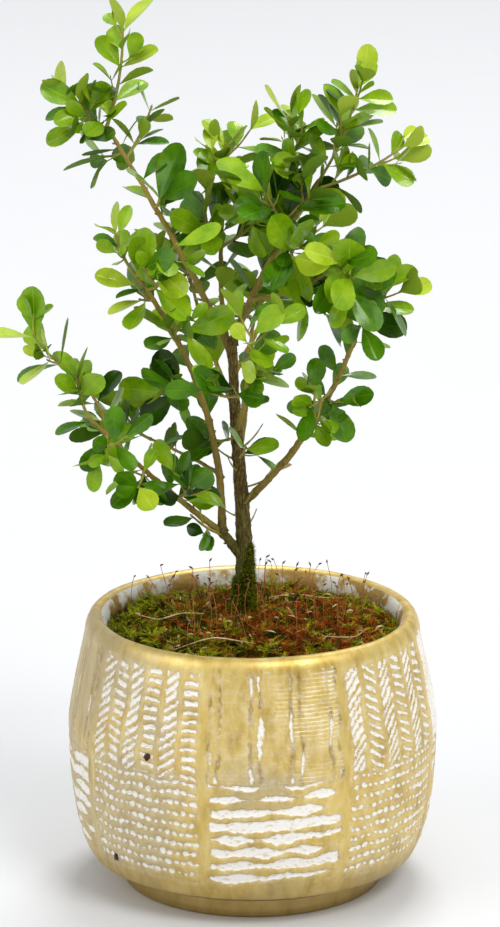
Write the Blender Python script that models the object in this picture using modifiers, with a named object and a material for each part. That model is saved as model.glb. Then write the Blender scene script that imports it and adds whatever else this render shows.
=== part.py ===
"""Boxwood bonsai in its round glazed pot.

A little tree about 225 mm high stands in a moss bed that fills the pot. The trunk forks low on the
left and again at its top, and every limb is a tapering bough of its own. Each mass of leaves is one
solid: shoots that branch from one stem, with opposite pairs of leaves set crosswise up each shoot.

Millimetres in the tables, metres in the model, +Z up, origin at the middle of the pot's underside,
the best side of the tree towards -Y.
"""

import math
import random
from collections import namedtuple

import bmesh
import bpy
import numpy as np
from mathutils.bvhtree import BVHTree

MM = 0.001
CLEAR = 0.35  # air left between neighbouring solids

# ---------------------------------------------------------------- sizes

FOOT_RADIUS = 46.3
BELLY_RADIUS = 65.0
BELLY_HEIGHT = 58.0
SHELL_FOOT_RADIUS = 50.0  # where the body turns in above the foot
SHELL_FOOT_HEIGHT = 7.5
UPPER_TAPER = 0.225  # loss of radius for each millimetre of height, well above the belly
BELLY_TURN = 8.0  # height over which the wall turns from upright at the belly to that taper
POT_WALL = 7.6
POT_FLOOR = 11.0
RIM_START = 91.0
RIM_CREST = 97.6
POT_STEPS = 32

MOSS_EDGE = 89.5
MOSS_CROWN = 95.2
MOSS_FLAT = 12.0  # radius of the level patch that the trunk stands on

# heading is measured from +X towards +Y and rise above level, both in degrees;
# lift and drift bow the middle of the limb upwards and sideways
TRUNK = dict(foot=(-3.4, 8.0), heading=-136, rise=87, length=97.9, lift=0.6, drift=0.6, sway=0.9,
             radii=(3.4, 1.55), flare=1.9, flare_height=4.5, lobes=5, sides=12, rings=15)

LIMBS = {
    "left_fork": dict(on="trunk", at=0.20, heading=-161, rise=52, length=13.4, lift=-0.5,
                      radii=(1.75, 1.5)),
    "left_stem": dict(on="left_fork", at=1.0, heading=-149, rise=70, length=103.6, lift=7.2, drift=4.6,
                      radii=(1.4, 0.75)),
    "low_left_bough": dict(on="left_fork", at=0.75, heading=-152, rise=43, length=71.8, lift=-1.2,
                           radii=(1.15, 0.6)),
    "left_riser": dict(on="low_left_bough", at=0.85, heading=-172, rise=63, length=24.9, lift=2.2,
                       radii=(0.6, 0.45)),
    "inner_left_bough": dict(on="left_stem", at=0.20, heading=137, rise=11, length=33.1, lift=0.6,
                             radii=(0.7, 0.45)),
    "right_leader": dict(on="trunk", at=1.0, heading=-20, rise=62, length=66.6, lift=1.7, drift=-0.7,
                         radii=(1.35, 0.75)),
    "left_leader": dict(on="trunk", at=0.955, heading=171, rise=61, length=90.4, lift=1.4,
                        radii=(1.3, 0.6)),
    "centre_stem": dict(on="trunk", at=0.90, heading=99, rise=69, length=57.9, lift=-0.4, drift=2.5,
                        radii=(1.0, 0.65)),
    "right_branch": dict(on="right_leader", at=0.25, heading=-36, rise=25, length=40.4, lift=-2.4,
                         radii=(0.7, 0.5)),
    "right_bough": dict(on="trunk", at=0.40, heading=-25, rise=57, length=80.5, lift=-4.8, drift=1.5,
                        radii=(1.4, 0.75)),
    "front_bough": dict(on="trunk", at=0.68, heading=-84, rise=39, length=52.0, lift=-4.2,
                        radii=(0.95, 0.6)),
    "back_bough": dict(on="trunk", at=0.57, heading=83, rise=44, length=53.1, lift=-5.6, radii=(1.0, 0.6)),
    "back_left_bough": dict(on="trunk", at=0.75, heading=112, rise=40, length=48.3, lift=-4.7, drift=-1.5,
                            radii=(0.95, 0.6)),
    "back_right_bough": dict(on="trunk", at=0.88, heading=63, rise=38, length=52.1, lift=-4.6, drift=1.8,
                             radii=(0.9, 0.6)),
}

# each mass grows from one stem: its limb and the place along it, the stem's heading, rise and length,
# the length of a leaf, the pairs of leaves on the stem, the side twigs with their reach, and the seed
Mass = namedtuple("Mass", "on at heading rise length leaf pairs twigs reach seed")
MASSES = {
    "top_up": Mass("left_leader", 1.00, -27, 79, 35, 15, 3, 0, 0, 794),
    "top_left": Mass("left_leader", 0.98, -139, 42, 17, 14, 2, 1, 9, 913),
    "top_far_left": Mass("left_leader", 0.95, -149, 44, 23, 14, 3, 1, 10, 330),
    "top_side_left": Mass("left_leader", 0.88, 126, -15, 13, 17, 2, 0, 0, 141),
    "top_right": Mass("left_leader", 0.85, 44, 54, 20, 12, 3, 0, 0, 949),
    "left_leader_side": Mass("left_leader", 0.62, -71, 36, 8, 22, 2, 0, 0, 74),
    "left_top": Mass("left_stem", 1.00, -144, 64, 16, 11, 3, 1, 9, 495),
    "left_top_right": Mass("left_stem", 0.98, -44, 35, 24, 19, 2, 1, 12, 128),
    "left_high_right": Mass("left_stem", 0.92, -53, 25, 12, 16, 2, 1, 12, 154),
    "left_high_left": Mass("left_stem", 0.88, -142, 9, 5, 14, 2, 1, 9, 962),
    "left_mid_left": Mass("left_stem", 0.70, -122, 46, 10, 13, 2, 1, 8, 478),
    "left_mid_right": Mass("left_stem", 0.78, -30, -17, 8, 17, 3, 1, 12, 452),
    "left_low_left": Mass("left_stem", 0.52, -151, 2, 14, 15, 3, 2, 10, 548),
    "far_left": Mass("low_left_bough", 1.00, -154, 74, 15, 13, 3, 1, 9, 655),
    "far_left_top": Mass("left_riser", 1.00, -162, 46, 20, 16, 3, 1, 9, 226),
    "lower_left": Mass("low_left_bough", 0.85, -87, -3, 15, 13, 2, 2, 10, 95),
    "low_left_under": Mass("low_left_bough", 0.55, -95, -3, 19, 13, 2, 1, 10, 536),
    "low_left_inner": Mass("low_left_bough", 0.30, -78, 23, 25, 13, 3, 2, 16, 309),
    "inner_left": Mass("inner_left_bough", 1.00, 168, 31, 10, 14, 3, 3, 14, 599),
    "low_twig": Mass("left_fork", 0.65, -154, 33, 19, 13, 1, 0, 0, 583),
    "centre_top": Mass("centre_stem", 1.00, 72, 84, 21, 12, 5, 3, 14, 31),
    "centre_left": Mass("centre_stem", 0.80, -149, 43, 10, 16, 3, 2, 12, 770),
    "centre_right": Mass("centre_stem", 0.72, -35, 37, 21, 18, 3, 2, 12, 828),
    "right_fork_left": Mass("right_leader", 0.88, 153, 76, 29, 14, 5, 3, 15, 49),
    "right_top": Mass("right_leader", 1.00, -5, 68, 36, 14, 5, 3, 15, 144),
    "right_end": Mass("right_leader", 0.95, -5, 27, 35, 13, 4, 1, 12, 110),
    "right_side": Mass("right_leader", 0.80, -58, 42, 10, 15, 2, 1, 12, 584),
    "right_low_side": Mass("right_leader", 0.60, -67, 8, 20, 19, 2, 1, 12, 78),
    "right_inner": Mass("right_leader", 0.70, -128, 50, 20, 17, 3, 2, 13, 526),
    "right_mid": Mass("right_branch", 1.00, -66, -10, 12, 17, 3, 2, 10, 721),
    "right_branch_under": Mass("right_branch", 0.42, -38, -15, 11, 14, 2, 1, 8, 398),
    "right_bough_top": Mass("right_bough", 1.00, -51, 58, 20, 15, 5, 2, 12, 461),
    "right_bough_left": Mass("right_bough", 0.68, -122, -12, 15, 12, 3, 2, 9, 101),
    "right_bough_right": Mass("right_bough", 0.62, -75, 12, 15, 15, 2, 0, 0, 778),
    "right_bough_foot": Mass("right_bough", 0.48, -81, 21, 17, 11, 3, 1, 12, 677),
    "front_top": Mass("front_bough", 1.00, -80, 51, 18, 14, 3, 3, 14, 458),
    "front_left": Mass("front_bough", 0.68, -132, 7, 12, 16, 2, 2, 12, 972),
    "front_right": Mass("front_bough", 0.80, -21, 41, 6, 13, 2, 1, 10, 892),
    "trunk_right": Mass("trunk", 0.57, -78, 30, 14, 14, 1, 0, 0, 974),
    "trunk_left": Mass("trunk", 0.65, -144, 0, 10, 13, 2, 1, 12, 69),
    "back_top": Mass("back_bough", 1.00, 72, 53, 15, 15, 3, 3, 15, 350),
    "back_left": Mass("back_left_bough", 1.00, 117, 63, 16, 15, 3, 3, 15, 125),
    "back_right": Mass("back_right_bough", 1.00, 48, 51, 13, 14, 3, 3, 15, 712),
}

SHOOT_BOW = -0.05  # share of a shoot's length by which its middle sags
SPIRAL_TURN = 137.5  # degrees from one side twig to the next
TWIG_LIFT = np.array([0.0, 0.0, 0.15])  # twigs turn up a little as they leave the stem
TWIG_LEAF = 0.94  # leaves on side twigs against those on the stem
PAIR_SPACING = 6.0  # stretch of side twig for each pair of leaves
STEM_RADII = (0.60, 0.36)  # at the foot and the tip of a stem
TWIG_RADII = (0.50, 0.28)
BARE_FOOT = 2.0  # length of a shoot below its lowest pair
STEM_TURNS = (0, 9, -9, 18, -18, 30, -30)  # degrees a stem may turn aside to pass another shoot
STEM_GAIN = 1.0  # length in clear air that makes such a turn worth taking
TIP_SINK = 1.2  # how far below the shoot's tip the last pair is rooted
TIP_OPENING = (26, 48)  # degrees between the shoot and a leaf of its last pair
SIDE_OPENING = (48, 72)  # the same for the pairs below
LEAF_THICKNESS = 0.5
LEAF_WIDEST = 0.62  # share of the leaf's length from its root to where it is widest
LEAF_THICKEST = 0.60
LEAF_WIDTH = (0.50, 0.62)  # width of a leaf for its length
TIP_WIDTH = 0.42  # width of its blunt end against its widest
LEAF_TRIES = ((1.0, 0.0), (1.0, 0.3), (0.9, -0.25), (0.8, 0.7))  # size and turn towards the shoot
LIGHT = np.array([0.0, -0.45, 0.8])  # where the leaves turn their faces
CROWN_MIDDLE = np.array([0.0, 6.0, 0.0])  # leaves also face away from the upright line through here
CROWN_RADIUS = 60.0
FACING = 0.75  # pull of the light against the pull of the shoot's own direction


# ---------------------------------------------------------------- scene and finishes

def clear_scene():
    for obj in list(bpy.data.objects):
        bpy.data.objects.remove(obj, do_unlink=True)


def finish(name, colour, roughness):
    material = bpy.data.materials.new(name)
    material.use_nodes = True
    shader = material.node_tree.nodes["Principled BSDF"]
    shader.inputs["Base Color"].default_value = (*colour, 1.0)
    shader.inputs["Roughness"].default_value = roughness
    material.diffuse_color = (*colour, 1.0)
    return material


def place(obj, collection, material):
    for other in list(obj.users_collection):
        other.objects.unlink(obj)
    collection.objects.link(obj)
    obj.data.materials.clear()
    obj.data.materials.append(material)
    return obj


def evaluated_mesh(obj, name, weld=True):
    """The object's shape with its modifiers applied and its loose caps welded."""
    bpy.context.view_layer.update()
    graph = bpy.context.evaluated_depsgraph_get()
    mesh = bpy.data.meshes.new_from_object(obj.evaluated_get(graph))
    mesh.name = name
    if not weld:
        return mesh
    shape = bmesh.new()
    shape.from_mesh(mesh)
    bmesh.ops.remove_doubles(shape, verts=shape.verts, dist=0.001 * MM)
    shape.to_mesh(mesh)
    shape.free()
    return mesh


# ---------------------------------------------------------------- pot and moss

def wall_radius(height):
    """Outer radius of the pot's body: it tapers in above the belly and turns round below it."""
    if height >= BELLY_HEIGHT:
        over = height - BELLY_HEIGHT
        return BELLY_RADIUS - UPPER_TAPER * over ** 2 / (over + BELLY_TURN)
    drop = (BELLY_HEIGHT - height) / (BELLY_HEIGHT - SHELL_FOOT_HEIGHT + 2.0)
    return SHELL_FOOT_RADIUS + (BELLY_RADIUS - SHELL_FOOT_RADIUS) * math.sqrt(1.0 - drop ** 2.6)


def turned(name, profile, collection, material):
    """A solid of revolution from a profile of (radius, height) that runs down its outer side."""
    mesh = bpy.data.meshes.new(name)
    verts = [(radius * MM, 0.0, height * MM) for radius, height in profile]
    mesh.from_pydata(verts, [(i, i + 1) for i in range(len(verts) - 1)], [])
    obj = bpy.data.objects.new(name, mesh)
    collection.objects.link(obj)
    screw = obj.modifiers.new("turn", "SCREW")
    screw.axis = "Z"
    screw.steps = POT_STEPS
    screw.render_steps = POT_STEPS
    screw.use_merge_vertices = True
    screw.merge_threshold = 0.00001
    place(obj, collection, material)
    mesh.shade_smooth()
    return obj


def rim_profile():
    """The rounded lip, from the inner edge over the crest to the outer wall."""
    outer, inner = wall_radius(RIM_START), wall_radius(RIM_START) - POT_WALL
    middle, half = (outer + inner) / 2, (outer - inner) / 2
    rise = RIM_CREST - RIM_START
    angles = [math.radians(a) for a in (165, 130, 95, 60, 25)]
    return [(middle + half * math.cos(a), RIM_START + rise * math.sin(a)) for a in angles]


def make_pot(collection, material):
    inside_heights = [POT_FLOOR + 3.0, 24.0, BELLY_HEIGHT, RIM_START]
    outside_heights = [RIM_START, 76.0, 66.0, BELLY_HEIGHT, 46.0, 35.0, 26.0, 18.5, 13.0, 9.5]
    profile = [(0.0, POT_FLOOR), (wall_radius(POT_FLOOR + 3.0) - POT_WALL - 5.0, POT_FLOOR)]
    profile += [(wall_radius(h) - POT_WALL, h) for h in inside_heights]
    profile += rim_profile()
    profile += [(wall_radius(h), h) for h in outside_heights]
    profile += [(SHELL_FOOT_RADIUS, SHELL_FOOT_HEIGHT), (FOOT_RADIUS, SHELL_FOOT_HEIGHT - 0.8)]
    profile += [(FOOT_RADIUS, 1.0), (FOOT_RADIUS - 1.0, 0.0), (0.0, 0.0)]
    return turned("pot", profile, collection, material)


def make_moss_bed(collection, material):
    """Soil and moss that fill the pot, domed, with a level patch under the trunk."""
    inner = [(wall_radius(h) - POT_WALL - CLEAR, h) for h in (BELLY_HEIGHT, 24.0, POT_FLOOR + 3.3)]
    edge = wall_radius(MOSS_EDGE) - POT_WALL - CLEAR
    dome = []
    for share in (0.0, 0.3, 0.62, 0.88):
        radius = MOSS_FLAT + (edge - MOSS_FLAT) * share
        dome.append((radius, MOSS_EDGE + (MOSS_CROWN - MOSS_EDGE) * math.cos(share * math.pi / 2)))
    profile = [(0.0, MOSS_CROWN)] + dome + [(edge, MOSS_EDGE - 0.5)] + inner
    foot = wall_radius(POT_FLOOR + 3.0) - POT_WALL - 5.3
    profile += [(foot, POT_FLOOR + CLEAR), (0.0, POT_FLOOR + CLEAR)]
    return turned("moss_bed", profile, collection, material)


# ---------------------------------------------------------------- lines of limbs and shoots

def unit(vector):
    return vector / np.linalg.norm(vector)


def bowed_line(start, heading, rise, length, lift=0.0, drift=0.0, sway=0.0, count=13):
    """Points in millimetres along a limb that leaves start and bows on its way."""
    h, r = math.radians(heading), math.radians(rise)
    along = np.array([math.cos(r) * math.cos(h), math.cos(r) * math.sin(h), math.sin(r)])
    side = np.array([-math.sin(h), math.cos(h), 0.0])
    over = np.array([-math.sin(r) * math.cos(h), -math.sin(r) * math.sin(h), math.cos(r)])
    t = np.linspace(0.0, 1.0, count)[:, None]
    bow = (over * lift + side * drift) * 4 * t * (1 - t) + side * sway * np.sin(2 * np.pi * t)
    return np.asarray(start) + along * length * t + bow


def point_at(line, share):
    place_on = min(max(share, 0.0), 1.0) * (len(line) - 1)
    first = min(int(place_on), len(line) - 2)
    return line[first] + (line[first + 1] - line[first]) * (place_on - first)


def tangent_at(line, share):
    first = min(int(min(max(share, 0.0), 1.0) * (len(line) - 1)), len(line) - 2)
    return unit(line[first + 1] - line[first])


def line_length(line):
    return float(np.linalg.norm(np.diff(line, axis=0), axis=1).sum())


def trimmed(line, cut, count):
    """The line without its first millimetres, or run back past its start where cut is below zero."""
    share = cut / line_length(line)
    points = [point_at(line, s) for s in np.linspace(max(share, 0.0), 1.0, count)]
    if cut < 0:
        points[0] = points[0] + tangent_at(line, 0.0) * cut
    return np.array(points)


def tube_mesh(name, line, radii, grown=0.0, triangle=None):
    """A tapering limb along a line, as a closed mesh; grown widens it for a clearance test."""
    curve = bpy.data.curves.new(name, "CURVE")
    curve.dimensions = "3D"
    curve.use_fill_caps = True
    if triangle is None:
        curve.bevel_depth = MM
        curve.bevel_resolution = 1
    else:
        curve.bevel_mode = "OBJECT"
        curve.bevel_object = triangle
    spline = curve.splines.new("POLY")
    spline.points.add(len(line) - 1)
    for i, (point, knot) in enumerate(zip(line, spline.points)):
        share = i / (len(line) - 1)
        knot.co = (*(point * MM), 1.0)
        knot.radius = radii[0] + (radii[1] - radii[0]) * share + grown
    obj = bpy.data.objects.new(name, curve)
    bpy.context.scene.collection.objects.link(obj)
    mesh = evaluated_mesh(obj, name)
    bpy.data.objects.remove(obj, do_unlink=True)
    bpy.data.curves.remove(curve)
    return mesh


def tree_of(meshes):
    """One search tree over several meshes."""
    verts, faces = [], []
    for mesh in meshes:
        first = len(verts)
        verts += [v.co.copy() for v in mesh.vertices]
        faces += [tuple(first + i for i in polygon.vertices) for polygon in mesh.polygons]
    return BVHTree.FromPolygons(verts, faces)


def touches(mesh, trees):
    own = tree_of([mesh])
    return any(own.overlap(tree) for tree in trees)


def clear_start(line, radii, trees, count, triangle=None):
    """The line moved along itself until the limb on it stands clear of the solids in trees."""
    cut = 0.0
    while cut < 0.6 * line_length(line):
        test = tube_mesh("test", trimmed(line, cut - CLEAR, count), radii, CLEAR, triangle)
        touching = touches(test, trees)
        bpy.data.meshes.remove(test)
        if not touching:
            return trimmed(line, cut, count)
        cut += 0.2
    return None


# ---------------------------------------------------------------- trunk and boughs

def make_trunk(collection, material):
    """A loft from a lobed root flare to a round stem, cut flat and level at the moss."""
    size = TRUNK
    start = (*size["foot"], MOSS_CROWN + CLEAR)
    line = bowed_line(start, size["heading"], size["rise"], size["length"], size["lift"], size["drift"],
                      size["sway"], size["rings"])
    stations = np.linspace(0.0, 1.0, size["rings"]) ** 1.35
    sides = size["sides"]
    mesh = bpy.data.meshes.new("trunk")
    shape = bmesh.new()
    rings = []
    for share in stations:
        centre = point_at(line, share)
        height = share * size["length"]
        radius = size["radii"][0] + (size["radii"][1] - size["radii"][0]) * share ** 0.8
        spread = size["flare"] * math.exp(-height / size["flare_height"])
        ring = []
        for k in range(sides):
            turn = 2 * math.pi * k / sides
            reach = radius + spread * (0.75 + 0.25 * math.cos(size["lobes"] * turn))
            corner = centre + reach * np.array([math.cos(turn), math.sin(turn), 0.0])
            ring.append(shape.verts.new(corner * MM))
        rings.append(ring)
    for low, high in zip(rings, rings[1:]):
        for k in range(sides):
            after = (k + 1) % sides
            shape.faces.new((low[k], low[after], high[after], high[k]))
    shape.faces.new(list(reversed(rings[0])))
    shape.faces.new(rings[-1])
    shape.to_mesh(mesh)
    shape.free()
    mesh.shade_smooth()
    mesh.set_sharp_from_angle(angle=math.radians(50))
    place(bpy.data.objects.new("trunk", mesh), collection, material)
    return line


def make_limbs(lines, solids, collection, material):
    for name, size in LIMBS.items():
        start = point_at(lines[size["on"]], size["at"])
        line = bowed_line(start, size["heading"], size["rise"], size["length"], size["lift"],
                          size.get("drift", 0.0))
        clear = clear_start(line, size["radii"], [tree_of(solids)], count=8)
        lines[name] = clear
        mesh = tube_mesh(name, clear, size["radii"])
        mesh.shade_smooth()
        solids.append(mesh)
        place(bpy.data.objects.new(name, mesh), collection, material)


# ---------------------------------------------------------------- shoots and leaves

def make_triangle():
    """The three-sided section of the shoots, kept as a guide."""
    curve = bpy.data.curves.new("shoot_section", "CURVE")
    curve.dimensions = "2D"
    spline = curve.splines.new("POLY")
    spline.points.add(2)
    spline.use_cyclic_u = True
    for k, knot in enumerate(spline.points):
        turn = -2 * math.pi * k / 3
        knot.co = (math.cos(turn) * MM, math.sin(turn) * MM, 0.0, 1.0)
    guide = bpy.data.objects.new("shoot_section", curve)
    bpy.context.scene.collection.objects.link(guide)
    guide.hide_render = True
    guide.display_type = "WIRE"
    return guide


def grow_leaves(line, leaf, pairs, seed):
    """Opposite pairs down a shoot from its tip, each pair a quarter turn on from the last.

    Gives root, direction, face, length and width of each leaf, in millimetres.
    """
    rng = random.Random(seed)
    length = line_length(line)
    roll = rng.uniform(0, 180)
    step = (length - BARE_FOOT) / max(pairs - 0.4, 1.0)
    grown = []
    for pair in range(pairs):
        share = max(1 - (pair * step + TIP_SINK) / length, 0.05)
        root, along = point_at(line, share), tangent_at(line, share)
        level = unit(np.cross(along, [0, 0, 1.0] if abs(along[2]) < 0.95 else [0, 1.0, 0]))
        cross = np.cross(along, level)
        for side in (0, 1):
            turn = math.radians(roll + 90 * pair + 180 * side + rng.uniform(-14, 14))
            out = level * math.cos(turn) + cross * math.sin(turn)
            opening = math.radians(rng.uniform(*(TIP_OPENING if pair == 0 else SIDE_OPENING)))
            heading = unit(along * math.cos(opening) + out * math.sin(opening))
            size = leaf * rng.uniform(0.9, 1.12)
            width = size * rng.uniform(*LEAF_WIDTH)
            outward = (root - CROWN_MIDDLE) * (1, 1, 0) / CROWN_RADIUS
            wanted = unit(along - heading * along.dot(heading)) + FACING * (LIGHT + outward)
            tilt = math.radians(rng.uniform(-22, 22))
            face = unit(wanted - heading * wanted.dot(heading))
            face = face * math.cos(tilt) + np.cross(heading, face) * math.sin(tilt)
            grown.append((root, heading, face, size, width, along))
    return grown


def leaf_mesh(root, heading, face, size, width, grown=0.0):
    """A blunt spatula of ten faces, thickest in the middle, its narrow end at the root."""
    across = np.cross(heading, face)
    half = width / 2 + grown
    thick = LEAF_THICKNESS / 2 + grown
    widest, end = LEAF_WIDEST * size, size + grown
    tip = TIP_WIDTH * half
    outline = ((0.0, 0.0), (widest, half), (end, tip), (end, -tip), (widest, -half))
    points = [root + heading * along + across * aside for along, aside in outline]
    crest = root + heading * LEAF_THICKEST * size
    points += [crest + face * thick, crest - face * thick]
    faces = []
    for k in range(5):
        after = (k + 1) % 5
        faces.append((k, after, 5))
        faces.append((after, k, 6))
    mesh = bpy.data.meshes.new("leaf")
    mesh.from_pydata([tuple(point * MM) for point in points], [], faces)
    return mesh


def twig_lines(stem, mass):
    """Side twigs in a spiral up the stem: the share of the stem below each, its line and its leaf pairs."""
    rng = random.Random(1000 + mass.seed)
    roll = rng.uniform(0, 360)
    twigs = []
    for number in range(mass.twigs):
        share = 0.15 + 0.85 * (number + rng.random()) / mass.twigs
        turn = math.radians(roll + SPIRAL_TURN * number + rng.uniform(-25, 25))
        opening = math.radians(rng.uniform(30, 65))
        length = mass.reach * rng.uniform(0.6, 1.0)
        along = tangent_at(stem, share)
        level = unit(np.cross(along, [0, 0, 1.0] if abs(along[2]) < 0.95 else [0, 1.0, 0]))
        out = level * math.cos(turn) + np.cross(along, level) * math.sin(turn)
        leaving = unit(along * math.cos(opening) + out * math.sin(opening) + TWIG_LIFT)
        heading = math.degrees(math.atan2(leaving[1], leaving[0]))
        rise = math.degrees(math.asin(leaving[2]))
        line = bowed_line(point_at(stem, share), heading, rise, length, SHOOT_BOW * length, count=3)
        twigs.append((share, line, max(1, round(length / PAIR_SPACING))))
    return twigs


def clear_stem(mass, limb_line, trees, triangle):
    """The stem of a mass, turned aside a little where another shoot is in its way.

    Gives its whole line from the middle of the limb, and the line that is left clear of the solids.
    """
    start = point_at(limb_line, mass.at)
    best = None
    for turn in STEM_TURNS:
        line = bowed_line(start, mass.heading + turn, mass.rise, mass.length, SHOOT_BOW * mass.length,
                          count=6)
        clear = clear_start(line, STEM_RADII, trees, 4, triangle)
        if clear is None:
            continue
        if best is None or line_length(clear) > line_length(best[1]) + STEM_GAIN:
            best = (line, clear)
    return best


def grow_shoots(mass, limb_line, trees, triangle):
    """The stem and twigs of a mass: (line, mesh, leaf length, pairs, seed) of each that stands clear."""
    line, stem = clear_stem(mass, limb_line, trees, triangle)
    lost = 1 - line_length(stem) / line_length(line)
    mesh = tube_mesh("shoot", stem, STEM_RADII, triangle=triangle)
    shoots = [(stem, mesh, mass.leaf, mass.pairs, mass.seed)]
    for number, (share, twig, pairs) in enumerate(twig_lines(line, mass)):
        test = tube_mesh("test", twig, TWIG_RADII, CLEAR, triangle)
        if share > lost and not touches(test, trees):
            mesh = tube_mesh("shoot", twig, TWIG_RADII, triangle=triangle)
            shoots.append((twig, mesh, mass.leaf * TWIG_LEAF, pairs, mass.seed * 7 + number + 1))
        bpy.data.meshes.remove(test)
    return shoots


def clear_leaf(root, heading, face, size, width, along, trees, blades):
    """The leaf, smaller or turned if need be, that stays off the limbs and the other masses.

    Where it can it also stays off the blades of its own mass. Gives its mesh and its blade.
    """
    for near in (blades, []):
        own = [tree_of(near)] if near else []
        for share, turn in LEAF_TRIES:
            turned_to = unit(heading + along * turn)
            turned_face = unit(face - turned_to * face.dot(turned_to))
            long, wide = size * share, width * share
            test = leaf_mesh(root, turned_to, turned_face, long, wide, CLEAR)
            blade = leaf_mesh(root + turned_to * 0.35 * long, turned_to, turned_face, 0.65 * long, wide)
            blocked = touches(test, trees) or touches(blade, own)
            bpy.data.meshes.remove(test)
            if not blocked:
                return leaf_mesh(root, turned_to, turned_face, long, wide), blade
            bpy.data.meshes.remove(blade)
    return None


def islands(shape):
    """The separate bodies of a bmesh, as sets of faces."""
    left = set(shape.faces)
    while left:
        body, edge = set(), [left.pop()]
        while edge:
            face = edge.pop()
            body.add(face)
            for side in face.edges:
                if len(side.link_faces) != 2:
                    continue
                for other in side.link_faces:
                    if other in left:
                        left.discard(other)
                        edge.append(other)
        yield body


def fuse(name, meshes):
    """One body from a stem and what grows on it: scraps off the stem are dropped and hollows filled."""
    foot = meshes[0].vertices[0].co.copy()
    pieces = bpy.data.collections.new(name + "_pieces")
    bpy.context.scene.collection.children.link(pieces)
    base = bpy.data.objects.new(name, meshes[0])
    bpy.context.scene.collection.objects.link(base)
    for mesh in meshes[1:]:
        pieces.objects.link(bpy.data.objects.new("piece", mesh))
    union = base.modifiers.new("union", "BOOLEAN")
    union.operation = "UNION"
    union.operand_type = "COLLECTION"
    union.collection = pieces
    union.solver = "MANIFOLD"
    joined = evaluated_mesh(base, name, weld=False)
    for obj in list(pieces.objects) + [base]:
        bpy.data.objects.remove(obj, do_unlink=True)
    bpy.data.collections.remove(pieces)
    shape = bmesh.new()
    shape.from_mesh(joined)
    bodies = list(islands(shape))
    kept = min(bodies, key=lambda body: min((v.co - foot).length for face in body for v in face.verts))
    spare = [face for body in bodies if body is not kept for face in body]
    bmesh.ops.delete(shape, geom=spare, context="FACES")
    shape.to_mesh(joined)
    shape.free()
    return joined


def make_masses(lines, wood, collection, materials):
    triangle = make_triangle()
    limb_tree = tree_of(wood)
    shoots, taken = {}, []
    for name, mass in MASSES.items():
        trees = [limb_tree] + ([tree_of(taken)] if taken else [])
        shoots[name] = grow_shoots(mass, lines[mass.on], trees, triangle)
        taken += [mesh for _, mesh, *_ in shoots[name]]
    leaves = []
    for order, name in enumerate(MASSES):
        others = [mesh for key in MASSES if key != name for _, mesh, *_ in shoots[key]]
        trees = [limb_tree, tree_of(others)] + ([tree_of(leaves)] if leaves else [])
        grown, blades = [], []
        for line, _, leaf, pairs, seed in shoots[name]:
            for spec in grow_leaves(line, leaf, pairs, seed):
                found = clear_leaf(*spec, trees, blades)
                if found is not None:
                    grown.append(found[0])
                    blades.append(found[1])
        leaves += [mesh.copy() for mesh in grown]
        joined = fuse(name, [mesh.copy() for _, mesh, *_ in shoots[name]] + grown)
        place(bpy.data.objects.new(name, joined), collection, materials[order % len(materials)])
    bpy.data.objects.remove(triangle, do_unlink=True)


# ---------------------------------------------------------------- the whole plant

def main():
    clear_scene()
    collection = bpy.data.collections.new("boxwood_bonsai")
    bpy.context.scene.collection.children.link(collection)
    bark = finish("boxwood_bark", (0.24, 0.17, 0.09), 0.8)
    greens = [finish("boxwood_leaf_" + tone, colour, 0.45) for tone, colour in
              (("mid", (0.10, 0.26, 0.02)), ("dark", (0.03, 0.13, 0.01)), ("young", (0.22, 0.38, 0.03)))]
    make_pot(collection, finish("rubbed_gold_glaze", (0.52, 0.38, 0.12), 0.45))
    make_moss_bed(collection, finish("moss", (0.09, 0.11, 0.02), 0.95))
    lines = {"trunk": make_trunk(collection, bark)}
    wood = [bpy.data.objects["trunk"].data]
    make_limbs(lines, wood, collection, bark)
    make_masses(lines, wood, collection, greens)


main()
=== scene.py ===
import math
import random
from collections import namedtuple

import bpy
import numpy as np
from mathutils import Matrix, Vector, noise


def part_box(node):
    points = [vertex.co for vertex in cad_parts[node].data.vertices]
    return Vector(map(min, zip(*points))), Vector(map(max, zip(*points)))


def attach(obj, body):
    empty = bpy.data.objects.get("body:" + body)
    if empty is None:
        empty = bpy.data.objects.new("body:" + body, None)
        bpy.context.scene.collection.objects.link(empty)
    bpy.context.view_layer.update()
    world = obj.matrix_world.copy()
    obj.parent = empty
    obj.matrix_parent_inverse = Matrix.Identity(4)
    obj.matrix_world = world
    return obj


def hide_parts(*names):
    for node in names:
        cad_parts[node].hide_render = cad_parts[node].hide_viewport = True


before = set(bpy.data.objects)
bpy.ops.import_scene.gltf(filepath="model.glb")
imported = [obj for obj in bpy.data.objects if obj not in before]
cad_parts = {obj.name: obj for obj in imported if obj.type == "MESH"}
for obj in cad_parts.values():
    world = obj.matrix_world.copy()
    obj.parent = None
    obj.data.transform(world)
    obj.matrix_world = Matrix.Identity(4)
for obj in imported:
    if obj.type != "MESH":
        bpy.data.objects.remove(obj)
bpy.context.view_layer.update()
mm = 0.001
print("frame loaded")


# small helpers

def linear(hexColour):
    # a hex colour as screens show it, turned into the light values that Blender mixes
    values = [int(hexColour[i:i + 2], 16) / 255 for i in (1, 3, 5)]
    return tuple(v / 12.92 if v <= 0.04045 else ((v + 0.055) / 1.055) ** 2.4 for v in values) + (1.0,)


def addNode(tree, kind, inputs=(), **settings):
    node = tree.nodes.new("ShaderNode" + kind)
    for name, value in settings.items():
        setattr(node, name, value)
    pairs = inputs.items() if isinstance(inputs, dict) else enumerate(inputs)
    for key, value in pairs:
        if isinstance(value, bpy.types.NodeSocket):
            tree.links.new(value, node.inputs[key])
        elif value is not None:
            node.inputs[key].default_value = value
    return node


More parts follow.
